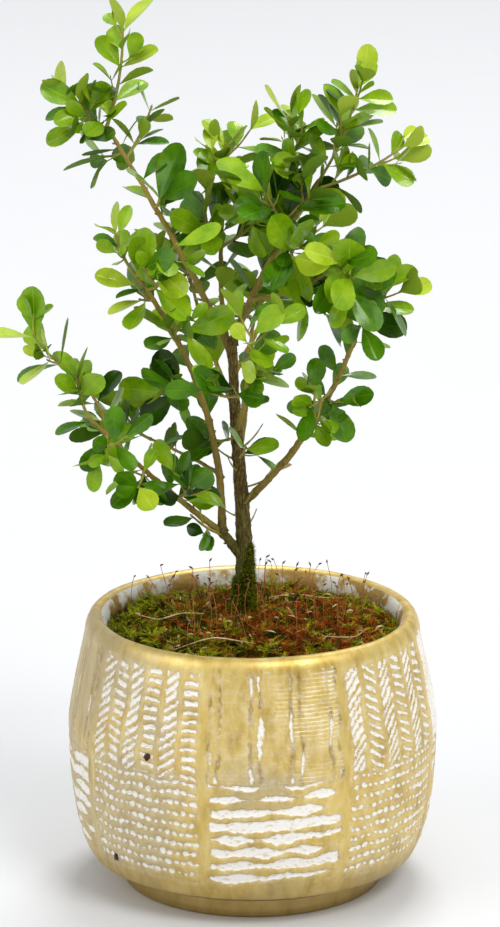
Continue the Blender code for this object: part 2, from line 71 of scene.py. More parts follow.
def newMaterial(name):
    material = bpy.data.materials.new(name)
    material.use_nodes = True
    tree = material.node_tree
    shader = tree.nodes["Principled BSDF"]
    place = addNode(tree, "TexCoord").outputs["Object"]
    # patterns are drawn in millimetres
    inMm = addNode(tree, "VectorMath", {0: place, "Scale": 1000.0}, operation="SCALE").outputs[0]
    return material, tree, shader, inMm


def deselectAll():
    if bpy.context.object and bpy.context.object.mode != "OBJECT":
        bpy.ops.object.mode_set(mode="OBJECT")
    bpy.ops.object.select_all(action="DESELECT")


def pickOnly(*pieces):
    deselectAll()
    for piece in pieces:
        piece.select_set(True)
    bpy.context.view_layer.objects.active = pieces[0]


def applyModifiers(piece):
    pickOnly(piece)
    for modifier in list(piece.modifiers):
        bpy.ops.object.modifier_apply(modifier=modifier.name)


def hand(piece, nodes):
    # the piece goes with the plant and stands for its solids
    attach(piece, "root")
    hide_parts(*nodes)


def unit(vector):
    return vector / np.linalg.norm(vector)


def meshPiece(name, points, faces, slots, materials):
    # one piece out of many small shapes, points in millimetres
    mesh = bpy.data.meshes.new(name)
    mesh.from_pydata(np.asarray(points, float) * mm, [], faces)
    mesh.polygons.foreach_set("material_index", slots)
    mesh.polygons.foreach_set("use_smooth", [True] * len(faces))
    mesh.set_sharp_from_angle(angle=math.radians(55))
    for material in materials:
        mesh.materials.append(material)
    piece = bpy.data.objects.new(name, mesh)
    bpy.context.scene.collection.objects.link(piece)
    return piece


def waves(x, y, wavelength, seed, count=9):
    # a smooth uneven field between about -1 and 1
    dice = random.Random(seed)
    total = 0
    for _ in range(count):
        turn, length = dice.uniform(0, 2 * math.pi), wavelength * dice.uniform(0.7, 1.6)
        total = total + np.cos((x * math.cos(turn) + y * math.sin(turn)) * 2 * math.pi / length
                               + dice.uniform(0, 2 * math.pi))
    return total / math.sqrt(count) / 1.4


# camera, floor and light

view = dict(distance=1500, elevation=15.2, aimSide=-0.93, aimHeight=151.1, lens=167.1, sensor=36, farClip=50)
studio = dict(floor=9.0, floorCells=8, paper=("#d7d8da", "#d4d6d9"), tooth=0.02, sky=0.64, lightsAim=0.15)
# each light's power, size and place in metres: a key from the right, a weaker fill from the left, and a
# soft box overhead that brightens the leaves from behind
lights = dict(key=(90.0, 1.7, (1.7, -2.3, 3.4)), fill=(30.0, 2.2, (-2.6, -1.6, 2.0)),
              top=(56.0, 1.1, (0.35, 1.35, 3.2)))


def placeCamera():
    tilt = math.radians(view["elevation"])
    place = (view["aimSide"], -view["distance"] * math.cos(tilt),
             view["aimHeight"] + view["distance"] * math.sin(tilt))
    deselectAll()
    bpy.ops.object.camera_add(location=[p * mm for p in place], rotation=(math.pi / 2 - tilt, 0, 0))
    camera = bpy.context.object
    camera.data.sensor_width = view["sensor"]
    camera.data.lens = view["lens"]
    camera.data.clip_end = view["farClip"]
    bpy.context.scene.camera = camera


def placeLight(name, power, size, place):
    deselectAll()
    bpy.ops.object.light_add(type="AREA", location=place)
    light = bpy.context.object
    light.name = name
    light.data.energy = power
    light.data.size = size
    away = -np.array(place) + (0, 0, studio["lightsAim"])
    light.rotation_euler = (math.atan2(math.hypot(away[0], away[1]), -away[2]), 0,
                            math.atan2(away[1], away[0]) - math.pi / 2)


def floorMaterial():
    # matt white studio paper: bright, with slow changes of tone a few centimetres wide
    material, tree, shader, place = newMaterial("studioPaper")
    low, high = studio["paper"]
    tooth = addNode(tree, "TexNoise", {"Vector": place, "Scale": studio["tooth"], "Detail": 3.0})
    tone = addNode(tree, "Mix", {"Factor": tooth.outputs["Fac"], "A": linear(low), "B": linear(high)},
                   data_type="RGBA")
    tree.links.new(tone.outputs["Result"], shader.inputs["Base Color"])
    shader.inputs["Roughness"].default_value = 0.9
    return material


def makeStudio():
    deselectAll()
    cells = studio["floorCells"]
    bpy.ops.mesh.primitive_grid_add(x_subdivisions=cells, y_subdivisions=cells, size=studio["floor"])
    floor = bpy.context.object
    floor.name = "floor"
    floor.data.materials.append(floorMaterial())
    world = bpy.data.worlds.new("softRoom")
    world.use_nodes = True
    background = world.node_tree.nodes["Background"]
    background.inputs["Color"].default_value = (1.0, 1.0, 1.0, 1.0)
    background.inputs["Strength"].default_value = studio["sky"]
    bpy.context.scene.world = world
    bpy.context.scene.view_settings.view_transform = "Standard"
    for name, (power, size, place) in lights.items():
        placeLight(name, power, size, place)


placeCamera()
makeStudio()
print("camera and studio placed")


# the pot

# the two turns are steps outward from the shell's foot and from the standing foot, with their heights
pot = dict(footRadius=46.3, shellFoot=50.0, shellFootHeight=7.5, shellSink=2.0, shellCurve=2.6,
           belly=65.0, bellyHeight=58.0, bellyTurn=8.0, taper=0.225, wall=7.6, floor=11.0, floorEdge=50.0,
           floorRound=3.0, insideRings=(30, 50, 65, 78, 85, 88.5), rimStart=91.0, rimCrest=97.6,
           lipStep=12, wallEnd=11.0, wallRings=112, steps=640, underRing=30.0,
           shellTurn=((1.4, 8.9), (0.2, 7.7)),
           footTurn=((1.2, 7.0), (0, 6.4), (0, 3.2), (-0.1, 1.0), (-0.5, 0.3), (-1.3, 0.0)))
# thrown clay is never quite round: a slow wander of a few tenths of a millimetre above the foot
wander = dict(size=0.7, width=35.0, start=12.0)


def wallRadius(height):
    if height >= pot["bellyHeight"]:
        over = height - pot["bellyHeight"]
        return pot["belly"] - pot["taper"] * over ** 2 / (over + pot["bellyTurn"])
    drop = (pot["bellyHeight"] - height) / (pot["bellyHeight"] - pot["shellFootHeight"] + pot["shellSink"])
    return pot["shellFoot"] + (pot["belly"] - pot["shellFoot"]) * math.sqrt(1 - drop ** pot["shellCurve"])


def potProfile():
    # radius and height, from the middle of the inside over the lip and down to the middle underneath
    inner = [(0, pot["floor"]), (pot["floorEdge"], pot["floor"])]
    inner += [(pot["floorEdge"] + pot["floorRound"], pot["floor"] + pot["floorRound"])]
    inner += [(wallRadius(h) - pot["wall"], h) for h in (*pot["insideRings"], pot["rimStart"])]
    outer = wallRadius(pot["rimStart"])
    middle, half = outer - pot["wall"] / 2, pot["wall"] / 2
    rise = pot["rimCrest"] - pot["rimStart"]
    angles = [math.radians(a) for a in range(180 - pot["lipStep"], 0, -pot["lipStep"])]
    lip = [(middle + half * math.cos(a), pot["rimStart"] + rise * math.sin(a)) for a in angles]
    wall = [(wallRadius(h), h) for h in np.linspace(pot["rimStart"], pot["wallEnd"], pot["wallRings"])]
    foot = [(pot["shellFoot"] + past, h) for past, h in pot["shellTurn"]]
    foot += [(pot["footRadius"] + past, h) for past, h in pot["footTurn"]]
    foot += [(pot["underRing"], 0.0), (0, 0.0)]
    return inner + lip + wall + foot


def turnProfile(name, profile, steps):
    # the profile is drawn by extruding one point along it, and turned about the upright axis
    seam = 0.01 * mm
    deselectAll()
    bpy.ops.mesh.primitive_plane_add(size=mm, location=(0, 0, 0))
    piece = bpy.context.object
    piece.name = name
    bpy.ops.object.mode_set(mode="EDIT")
    bpy.ops.mesh.select_all(action="SELECT")
    bpy.ops.mesh.merge(type="CENTER")
    bpy.ops.transform.translate(value=(profile[0][0] * mm, 0, profile[0][1] * mm))
    for before, after in zip(profile, profile[1:]):
        step = ((after[0] - before[0]) * mm, 0, (after[1] - before[1]) * mm)
        bpy.ops.mesh.extrude_region_move(TRANSFORM_OT_translate={"value": step})
    bpy.ops.object.mode_set(mode="OBJECT")
    turned = piece.modifiers.new("turned", "SCREW")
    turned.axis = "Z"
    turned.steps = steps
    turned.render_steps = steps
    turned.use_merge_vertices = True
    turned.merge_threshold = seam
    applyModifiers(piece)
    bpy.ops.object.mode_set(mode="EDIT")
    bpy.ops.mesh.select_all(action="SELECT")
    bpy.ops.mesh.remove_doubles(threshold=seam)
    bpy.ops.mesh.normals_make_consistent(inside=False)
    bpy.ops.object.mode_set(mode="OBJECT")
    bpy.ops.object.shade_smooth_by_angle(angle=math.radians(50))
    bpy.ops.object.transform_apply(location=True, rotation=True, scale=True)
    return piece


# the fields, the hand's slow drift and quick tremor, and how deep the marks are pressed
marks = dict(panelCentre=7.3, ring=65.0, top=92.0, bottom=17.6, middle=55.3, halfPanel=23.4,
             wallFrom=12.0, wallTo=95.0, drift=0.55, driftWidth=13.0, tremor=0.3, tremorWidth=3.2,
             depth=0.42, soft=0.75, scoreDepth=0.22, ridge=0.07, none=1.6)
strokes = dict(column=7.95, spacing=3.2, leanEven=-0.72, leanOdd=0.28, unevenLean=4.0, stagger=0.37,
               half=0.56, wider=0.34, reach=0.41, shorter=0.09)
dots = dict(row=3.75, step=2.9, long=0.8, tall=1.1, radius=0.72, larger=0.45)
bars = dict(row=4.95, slope=0.035, start=0.35, half=0.27, swell=0.36, swellWidth=17.0, widest=0.40)
ruledLines = dict(pair=14.7, half=1.65, swell=1.6, swellWidth=15.0, thinnest=0.05, widest=0.95,
                  scoreHalf=0.75, scoreSoft=0.6, fadeWidth=9.0, faintest=0.25)


def chanceOf(*cells):
    # an even chance from 0 to 1 for each cell of a pattern
    mixed = sum(cell * weight for cell, weight in zip(cells, (12.9898, 78.233, 37.719)))
    return np.abs(np.modf(np.sin(mixed) * 43758.5453)[0])


def pressedMarks(x, y, z):
    # how far a place on the wall is from the nearest pressed mark, in millimetres and below zero inside
    # it, with how deep the upright lines are scored there, and whether the field is one of theirs
    start = 0.25 - math.radians(marks["panelCentre"]) / (math.pi / 2)
    panels = (np.arctan2(x, -y) * 2 / math.pi + start) % 4
    quarter, panel = np.floor(panels), panels % 1
    # eight fields round the pot, turn about: bars and lines, then dots and slanting strokes
    dotted = panel > 0.5
    around = panels * math.pi / 2 * marks["ring"]
    along = (panel - np.where(dotted, 0.75, 0.25)) * math.pi / 2 * marks["ring"]
    # the hand's unsteadiness shifts every mark a little
    drift = [marks["drift"] * waves(around, z, marks["driftWidth"], seed) for seed in (41, 43)]
    tremor = [marks["tremor"] * waves(around, z, marks["tremorWidth"], seed) for seed in (42, 44)]
    along, level = along + drift[0] + tremor[0], z + drift[1] + tremor[1]

    # slanting strokes in columns, leaning one way and then the other
    columns = along / strokes["column"] + 3
    column, across = np.floor(columns), columns % 1 - 0.5
    lean = np.where(column % 2 > 0, strokes["leanOdd"], strokes["leanEven"]) * strokes["column"]
    lean = lean + strokes["unevenLean"] * (chanceOf(column, quarter) - 0.5)
    rows = (level + across * lean) / strokes["spacing"] + column * strokes["stagger"]
    chance = chanceOf(column, np.floor(rows), quarter)
    square = 1 / np.hypot(1, lean / strokes["column"])
    thin = np.abs(rows % 1 - 0.5) * strokes["spacing"] * square - strokes["half"] - strokes["wider"] * chance
    ends = (np.abs(across) - strokes["reach"] + strokes["shorter"] * chance) * strokes["column"]
    stroke = np.maximum(thin, ends)

    # rows of dots
    rows = level / dots["row"]
    row = np.floor(rows)
    steps = along / dots["step"] + chanceOf(row)
    chance = chanceOf(np.floor(steps), row, quarter)
    aside, above = (steps % 1 - 0.5) * dots["step"], (rows % 1 - 0.5) * dots["row"]
    dot = np.hypot(aside * dots["long"], above * dots["tall"]) - dots["radius"] - dots["larger"] * chance

    # broad wavering bars one above the other, each with a swell of its own
    rows = (level - bars["slope"] * along) / bars["row"] + bars["start"]
    row = np.floor(rows)
    swell = waves(along + 41 * row, 57 * row + 93 * quarter, bars["swellWidth"], 45)
    half = np.minimum(bars["half"] + bars["swell"] * swell, bars["widest"])
    bar = (np.abs(rows % 1 - 0.5) - half) * bars["row"]

    # upright lines in pairs, with white where they were pressed deeper
    apart = np.abs((along / ruledLines["pair"]) % 1 - 0.5) * ruledLines["pair"]
    apart = np.abs(apart - ruledLines["half"])
    swell = ruledLines["swell"] * waves(along * 2.5, level, ruledLines["swellWidth"], 46) - 0.1
    line = apart - np.clip(swell, ruledLines["thinnest"], ruledLines["widest"])

    # the four kinds meet at the middle height and keep to their fields
    isUpper = level > marks["middle"]
    mark = np.where(isUpper, np.where(dotted, stroke, line), np.where(dotted, dot, bar))
    mark = np.maximum.reduce([mark, np.abs(along) - marks["halfPanel"], level - marks["top"],
                              marks["bottom"] - level, 0.5 - np.abs(level - marks["middle"])])
    ruled = isUpper & ~dotted & (np.abs(along) < marks["halfPanel"] + 1) & (level < marks["top"] + 1.5)
    faded = np.clip(0.6 + waves(around, z, ruledLines["fadeWidth"], 47), ruledLines["faintest"], 1)
    scored = np.clip((ruledLines["scoreHalf"] - apart) / ruledLines["scoreSoft"], 0, 1) * ruled * faded
    return np.minimum(mark, marks["none"]), scored, ruled.astype(float)


def pressMarks(piece):
    # the marks are sunk into the outer wall, with a low ridge of clay pushed up round each
    count = len(piece.data.vertices)
    places = np.empty(count * 3)
    piece.data.vertices.foreach_get("co", places)
    places = places.reshape(-1, 3)
    x, y, z = places.T / mm
    out = np.hypot(x, y)
    outer = np.array([wallRadius(max(height, marks["wallFrom"])) for height in z])
    onWall = (z > marks["wallFrom"]) & (z < marks["wallTo"]) & (out > outer - 1.5)
    mark, scored, ruled = pressedMarks(x, y, z)
    mark = np.where(onWall, mark, marks["none"])
    scored, ruled = scored * onWall, ruled * onWall
    sunk = np.clip((0.4 - mark) / marks["soft"], 0, 1)
    depth = marks["depth"] * sunk ** 2 * (3 - 2 * sunk) + marks["scoreDepth"] * scored
    depth = depth - marks["ridge"] * np.exp(-((mark - 0.6) / 0.3) ** 2) * onWall
    places[:, :2] *= (1 - depth / np.maximum(out, 1))[:, None]
    piece.data.vertices.foreach_set("co", places.ravel())
    for name, values in (("mark", mark), ("scored", scored), ("ruled", ruled)):
        attribute = piece.data.attributes.new(name, "FLOAT", "POINT")
        attribute.data.foreach_set("value", values)
    piece.data.update()


# the chips are given by their turn round the pot, height and size
# painted shade: the scored tone, the dark line round the marks, the foot's darker tone and the darker inside
# tones; the grey is part wear, part painted shade on the left
paint = dict(deep="#b09242", gold="#d8bc6c", pale="#ecd894", grey="#b3a688", paintedFootShade="#9c8350",
             scored="#9a7d3c", paintedEdgeShade="#8a6d34", white="#efece5", body="#3a1c14", metallic=0.72,
             hatch=1.45, chips=((-34.0, 61.7, 1.3), (-51.0, 19.7, 1.5)),
             insideDeep="#8a6c33", insidePale="#c9a75e", insideWhite="#dcdad2")


def goldMaterial():
    # gold paint rubbed over matt white ceramic: a soft brushed metal gleam, with the bare white
    # showing in every pressed mark and thinly wherever the rubbing wore it
    material, tree, shader, place = newMaterial("rubbedGoldOnCeramic")

    mark = addNode(tree, "Attribute", attribute_name="mark").outputs["Fac"]
    scored = addNode(tree, "Attribute", attribute_name="scored").outputs["Fac"]
    ruled = addNode(tree, "Attribute", attribute_name="ruled").outputs["Fac"]
    split = addNode(tree, "SeparateXYZ", (place,)).outputs
    x, z = split["X"], split["Z"]

    # the edges of the marks are frayed by a few tenths of a millimetre
    fray = addNode(tree, "TexNoise", {"Vector": place, "Scale": 0.8, "Detail": 2.0}).outputs
    frayed = addNode(tree, "Math", (fray["Fac"], 0.8, -0.4), operation="MULTIPLY_ADD").outputs[0]
    mark = addNode(tree, "Math", (mark, frayed), operation="ADD").outputs[0]

    # fine level scratches in patches between the upright lines
    scratch = addNode(tree, "Math", (frayed, 0.8, z), operation="MULTIPLY_ADD").outputs[0]
    scratch = addNode(tree, "Math", (scratch, 1 / paint["hatch"]), operation="MULTIPLY").outputs[0]
    scratch = addNode(tree, "Math", (scratch,), operation="FRACT").outputs[0]
    scratch = addNode(tree, "Math", (scratch, 0.5), operation="SUBTRACT").outputs[0]
    scratch = addNode(tree, "Math", (scratch,), operation="ABSOLUTE").outputs[0]
    patch = addNode(tree, "TexNoise", {"Vector": place, "Scale": 0.06, "Detail": 3.0, "Roughness": 0.7})
    patch = addNode(tree, "Math", (x, 0.011, patch.outputs["Fac"]), operation="MULTIPLY_ADD").outputs[0]
    patch = addNode(tree, "Math", (patch, -1.4, 1.03), operation="MULTIPLY_ADD").outputs[0]
    scratch = addNode(tree, "Math", (scratch, patch), operation="ADD").outputs[0]
    unruled = addNode(tree, "Math", (1.0, ruled), operation="SUBTRACT").outputs[0]
    scratch = addNode(tree, "Math", (unruled, 3.0, scratch), operation="MULTIPLY_ADD").outputs[0]
    mark = addNode(tree, "Math", (mark, scratch), operation="MINIMUM").outputs[0]

    bare = addNode(tree, "MapRange", {"Value": mark, "From Min": 0.12, "From Max": -0.22}).outputs["Result"]
    hollow = addNode(tree, "MapRange", {"Value": mark, "From Min": 0.3, "From Max": -0.4},
                     interpolation_type="SMOOTHSTEP").outputs["Result"]
    haze = addNode(tree, "MapRange", {"Value": mark, "From Min": 1.6, "From Max": 0.0, "To Max": 0.42})
    worn = addNode(tree, "TexNoise", {"Vector": place, "Scale": 0.35, "Detail": 4.0, "Roughness": 0.75})
    rubbed = addNode(tree, "MapRange", {"Value": worn.outputs["Fac"], "From Min": 0.42, "From Max": 0.68})
    haze = addNode(tree, "Math", (haze.outputs["Result"], rubbed.outputs["Result"]),
                   operation="MULTIPLY").outputs[0]
    whiteness = addNode(tree, "Math", (bare, haze), operation="MAXIMUM").outputs[0]
    crumbs = addNode(tree, "VectorMath", (place, (0.5, 0.5, 1.1)), operation="MULTIPLY").outputs[0]
    crumbs = addNode(tree, "TexNoise", {"Vector": crumbs, "Scale": 1.0, "Detail": 3.0}).outputs["Fac"]
    crumbs = addNode(tree, "MapRange", {"Value": crumbs, "From Min": 0.30, "From Max": 0.46, "To Min": 0.45})
    whiteness = addNode(tree, "Math", (whiteness, crumbs.outputs["Result"]), operation="MULTIPLY").outputs[0]

    # brush strokes run up and down the wall, about 4 mm wide
    streaks = addNode(tree, "VectorMath", (place, (0.2, 0.2, 0.07)), operation="MULTIPLY").outputs[0]
    streaks = addNode(tree, "TexNoise", {"Vector": streaks, "Scale": 1.0, "Detail": 3.0, "Roughness": 0.55})
    goldTone = addNode(tree, "ValToRGB", (streaks.outputs["Fac"],))
    ramp = goldTone.color_ramp
    ramp.elements[0].position = 0.22
    ramp.elements[0].color = linear(paint["deep"])
    ramp.elements[1].position = 0.84
    ramp.elements[1].color = linear(paint["pale"])
    middle = ramp.elements.new(0.5)
    middle.color = linear(paint["gold"])
    # grey worn patches, plus painted shade: the gold turns greyer towards the left, the side turned from the
    # key light
    greyWearAndLeftShade = addNode(tree, "TexNoise", {"Vector": place, "Scale": 0.03, "Detail": 4.0}).outputs["Fac"]
    greyWearAndLeftShade = addNode(tree, "Math", (x, -0.0018, greyWearAndLeftShade), operation="MULTIPLY_ADD").outputs[0]
    greyWearAndLeftShade = addNode(tree, "MapRange", {"Value": greyWearAndLeftShade, "From Min": 0.50, "From Max": 0.66, "To Max": 0.6})
    gold = addNode(tree, "Mix", {"Factor": greyWearAndLeftShade.outputs["Result"], "A": goldTone.outputs["Color"],
                                 "B": linear(paint["grey"])}, data_type="RGBA").outputs["Result"]
    # painted shade: the foot and the turn of the wall above it are darker towards the bottom
    paintedFootShade = addNode(tree, "MapRange", {"Value": z, "From Min": 24.0, "From Max": 5.0, "To Max": 0.7})
    gold = addNode(tree, "Mix", {"Factor": paintedFootShade.outputs["Result"], "A": gold, "B": linear(paint["paintedFootShade"])},
                   data_type="RGBA").outputs["Result"]
    # painted shade: the scored grooves are darkened in the colour
    gold = addNode(tree, "Mix", {"Factor": scored, "A": gold, "B": linear(paint["scored"])},
                   data_type="RGBA").outputs["Result"]
    # painted shade: a dark line round each pressed mark, at the edge of its hollow
    markEdgeShade = addNode(tree, "MapRange", {"Value": mark, "From Min": 0.5, "From Max": 0.15, "To Max": 0.2})
    markEdgeShade = addNode(tree, "Math", (markEdgeShade.outputs["Result"], unruled), operation="MULTIPLY").outputs[0]
    gold = addNode(tree, "Mix", {"Factor": markEdgeShade, "A": gold, "B": linear(paint["paintedEdgeShade"])},
                   data_type="RGBA").outputs["Result"]
    colour = addNode(tree, "Mix", {"Factor": whiteness, "A": gold, "B": linear(paint["white"])},
                     data_type="RGBA").outputs["Result"]

    # two chips through to the dark body
    torn = addNode(tree, "VectorMath", (fray["Color"], (-0.5, -0.5, -0.5)), operation="ADD").outputs[0]
    torn = addNode(tree, "VectorMath", {0: torn, "Scale": 1.9}, operation="SCALE").outputs[0]
    torn = addNode(tree, "VectorMath", (place, torn), operation="ADD").outputs[0]
    chip = None
    for turnTo, height, reach in paint["chips"]:
        out = wallRadius(height)
        at = (out * math.sin(math.radians(turnTo)), -out * math.cos(math.radians(turnTo)), height)
        near = addNode(tree, "VectorMath", (torn, at), operation="DISTANCE").outputs["Value"]
        near = addNode(tree, "Math", (near, reach), operation="SUBTRACT").outputs[0]
        chip = near if chip is None else addNode(tree, "Math", (chip, near), operation="MINIMUM").outputs[0]
    chip = addNode(tree, "MapRange", {"Value": chip, "From Min": 0.25, "From Max": -0.1}).outputs["Result"]
    colour = addNode(tree, "Mix", {"Factor": chip, "A": colour, "B": linear(paint["body"])},
                     data_type="RGBA").outputs["Result"]

    plain = addNode(tree, "Math", (1.0, whiteness), operation="SUBTRACT").outputs[0]
    metal = addNode(tree, "Math", (plain, paint["metallic"]), operation="MULTIPLY").outputs[0]
    rough = addNode(tree, "MapRange", {"Value": streaks.outputs["Fac"], "From Min": 0.3, "From Max": 0.7,
                                       "To Min": 0.46, "To Max": 0.38}).outputs["Result"]
    rough = addNode(tree, "Mix", {"Factor": whiteness, "A": rough, "B": 0.7}).outputs["Result"]
    deep = addNode(tree, "Math", (chip, 0.8, hollow), operation="MULTIPLY_ADD").outputs[0]
    deep = addNode(tree, "Math", (scored, 0.7, deep), operation="MULTIPLY_ADD").outputs[0]
    pressedIn = addNode(tree, "Bump", {"Height": deep, "Strength": 0.6, "Distance": 0.4 * mm}, invert=True)
    grit = addNode(tree, "TexNoise", {"Vector": place, "Scale": 0.9, "Detail": 5.0, "Roughness": 0.7})
    skin = addNode(tree, "Bump", {"Height": grit.outputs["Fac"], "Strength": 0.45, "Distance": 0.25 * mm,
                                  "Normal": pressedIn.outputs["Normal"]})
    tree.links.new(colour, shader.inputs["Base Color"])
    tree.links.new(metal, shader.inputs["Metallic"])
    tree.links.new(rough, shader.inputs["Roughness"])
    tree.links.new(skin.outputs["Normal"], shader.inputs["Normal"])
    return material


def insideMaterial():
    # the same paint brushed thinly inside the lip, where the white ceramic shows in patches; its gold and
    # white are darker than outside, as painted shade
    material, tree, shader, place = newMaterial("shadedThinGoldInside")
    patches = addNode(tree, "TexNoise", {"Vector": place, "Scale": 0.07, "Detail": 5.0, "Roughness": 0.65})
    bare = addNode(tree, "MapRange", {"Value": patches.outputs["Fac"], "From Min": 0.46, "From Max": 0.53})
    brushed = addNode(tree, "VectorMath", (place, (0.3, 0.3, 0.9)), operation="MULTIPLY").outputs[0]
    brushed = addNode(tree, "TexNoise", {"Vector": brushed, "Scale": 1.0, "Detail": 4.0}).outputs["Fac"]
    gold = addNode(tree, "Mix", {"Factor": brushed, "A": linear(paint["insideDeep"]),
                                 "B": linear(paint["insidePale"])}, data_type="RGBA").outputs["Result"]
    colour = addNode(tree, "Mix", {"Factor": bare.outputs["Result"], "A": gold,
                                   "B": linear(paint["insideWhite"])}, data_type="RGBA").outputs["Result"]
    plain = addNode(tree, "Math", (0.6, bare.outputs["Result"]), operation="SUBTRACT", use_clamp=True)
    skin = addNode(tree, "Bump", {"Height": patches.outputs["Fac"], "Strength": 0.5, "Distance": 0.5 * mm})
    tree.links.new(colour, shader.inputs["Base Color"])
    tree.links.new(plain.outputs[0], shader.inputs["Metallic"])
    tree.links.new(skin.outputs["Normal"], shader.inputs["Normal"])
    shader.inputs["Roughness"].default_value = 0.55
    return material


def makePot():
    piece = turnProfile("potBody", potProfile(), pot["steps"])
    pressMarks(piece)
    piece.data.materials.append(goldMaterial())
    piece.data.materials.append(insideMaterial())
    lipMiddle = wallRadius(pot["rimStart"]) - pot["wall"] / 2
    for face in piece.data.polygons:
        out = math.hypot(face.center.x, face.center.y) / mm
        inside = out < lipMiddle - 2.0 and face.center.z > (pot["floor"] - 1) * mm
        face.material_index = 1 if inside else 0
    clouds = bpy.data.textures.new("wander", "CLOUDS")
    clouds.noise_scale = wander["width"] * mm
    shape = piece.vertex_groups.new(name="wall")
    shape.add([v.index for v in piece.data.vertices if v.co.z > wander["start"] * mm], 1.0, "REPLACE")
    uneven = piece.modifiers.new("uneven", "DISPLACE")
    uneven.texture = clouds
    uneven.vertex_group = "wall"
    uneven.strength = wander["size"] * mm
    uneven.mid_level = 0.5
    applyModifiers(piece)
    hand(piece, ["pot"])


makePot()
print("pot turned")


# how limbs and shoots grow

def headings(turn, rise):
    # one way to go or many, from turns about the upright axis and rises above the level, in radians
    return np.stack([np.cos(rise) * np.cos(turn), np.cos(rise) * np.sin(turn), np.sin(rise)], axis=-1)


def bowedLine(start, heading, rise, length, lift=0.0, drift=0.0, sway=0.0, count=13):
    h, r = math.radians(heading), math.radians(rise)
    along = headings(h, r)
    side = np.array([-math.sin(h), math.cos(h), 0.0])
    over = np.array([-math.sin(r) * math.cos(h), -math.sin(r) * math.sin(h), math.cos(r)])
    t = np.linspace(0.0, 1.0, count)[:, None]
    bow = (over * lift + side * drift) * 4 * t * (1 - t) + side * sway * np.sin(2 * np.pi * t)
    return np.asarray(start) + along * length * t + bow


def pointAt(line, share):
    place = min(max(share, 0.0), 1.0) * (len(line) - 1)
    first = min(int(place), len(line) - 2)
    return line[first] + (line[first + 1] - line[first]) * (place - first)


def tangentAt(line, share):
    first = min(int(min(max(share, 0.0), 1.0) * (len(line) - 1)), len(line) - 2)
    return unit(line[first + 1] - line[first])


def lineLength(line):
    return float(np.linalg.norm(np.diff(line, axis=0), axis=1).sum())


def shortened(line, cut, count):
    share = cut / lineLength(line)
    return np.array([pointAt(line, s) for s in np.linspace(share, 1.0, count)])


def levelOf(along):
    # the level direction square to a shoot
    return unit(np.cross(along, [0, 0, 1.0] if abs(along[2]) < 0.95 else [0, 1.0, 0]))


def newHeap():
    return dict(points=[], faces=[], slots=[])


def addShape(heap, points, faces, slot=0):
    first = len(heap["points"])
    heap["points"].extend(points)
    heap["faces"].extend(tuple(first + corner for corner in face) for face in faces)
    heap["slots"].extend([slot] * len(faces) if isinstance(slot, int) else slot)


def addRings(heap, rings, slot=0):
    # a closed skin over rings of points, each ring an array of the same length
    sides = len(rings[0])
    faces = []
    for ring in range(len(rings) - 1):
        for k in range(sides):
            low, after = ring * sides + k, ring * sides + (k + 1) % sides
            faces.append((low, after, after + sides, low + sides))
    faces.append(tuple(reversed(range(sides))))
    faces.append(tuple(range((len(rings) - 1) * sides, len(rings) * sides)))
    addShape(heap, np.concatenate(rings), faces, slot)


def addLimb(heap, line, radii, sides, slot=0, relief=None):
    # a round limb of changing girth, closed at both ends; relief gives the bark's height on it
    line = np.asarray(line)
    ahead = np.gradient(line, axis=0)
    side = levelOf(unit(ahead[0]))
    turns = [2 * math.pi * k / sides for k in range(sides)]
    circle = np.array([(math.cos(turn), math.sin(turn)) for turn in turns])
    rings, far = [], 0.0
    for number, (point, along, radius) in enumerate(zip(line, ahead, radii)):
        along = unit(along)
        side = unit(side - along * side.dot(along))
        up = np.cross(along, side)
        reach = np.full(sides, radius)
        if relief:
            far += float(np.linalg.norm(point - line[number - 1])) if number else 0.0
            reach = reach + [relief(turn, radius, far) for turn in turns]
        rings.append(point + (circle[:, :1] * side + circle[:, 1:] * up) * reach[:, None])
    addRings(heap, rings, slot)


def heapPiece(name, heap, materials):
    return meshPiece(name, heap["points"], heap["faces"], heap["slots"], materials)


# the moss

# the bed: a dome with lumps, banked up against the wall, with a level patch under the trunk
moss = dict(edge=89.5, crown=95.2, flat=12.0, gap=0.35, bank=2.6, bankWidth=30.0, lump=1.5, lumpWidth=16.0,
            fineLump=0.6, fineWidth=5.5, lowLumps=0.25, ringStep=0.8, steps=150, soilDrop=0.8,
            innerRings=(86, 76, pot["bellyHeight"], 40, 24, 14.3), underEdge=52.5,
            fronds=5200, frondLength=(2.8, 6.2), frondRise=(4, 50), droop=0.315, leafletPairs=5,
            leaflet=(0.8, 1.7), leafletWidth=0.42, leafletSpread=0.95, tufts=2600, tuftBlades=8,
            tuftHeight=(1.6, 3.2), tuftRise=(35, 88), tuftSpread=0.55, tuftWidth=0.38, seed=4)
# how the colours share the bed: russet to the right of the trunk, green and bright towards the wall
patches = dict(russetWidth=10.0, brightWidth=8.0, uneven=0.3, toRight=80.0, wallGreen=1.3, wallBright=0.75,
               russetFrom=-0.05, brightFrom=0.3, straw=0.05, bareWidth=7.0, bareWall=0.2, bareFrom=0.72)
# moss that climbs the foot of the trunk, highest on its right
sleeve = dict(leaflets=11000, height=0.3, crowding=1.9, low=0.12, higher=0.14, length=(0.8, 2.1), width=0.36,
              spread=0.35, bright=0.3)
# each kind of moss leaf with its darkest and lightest tone
mossTones = (("mossBright", "#5c6404", "#acb01e"), ("mossDark", "#1c1e02", "#50520a"),
             ("mossRusset", "#4c1f03", "#b45c16"), ("mossStraw", "#8a6428", "#d4b26c"))


def bedReach(clear):
    # from the middle of the bed to this far short of the wall
    return wallRadius(moss["edge"]) - pot["wall"] - clear


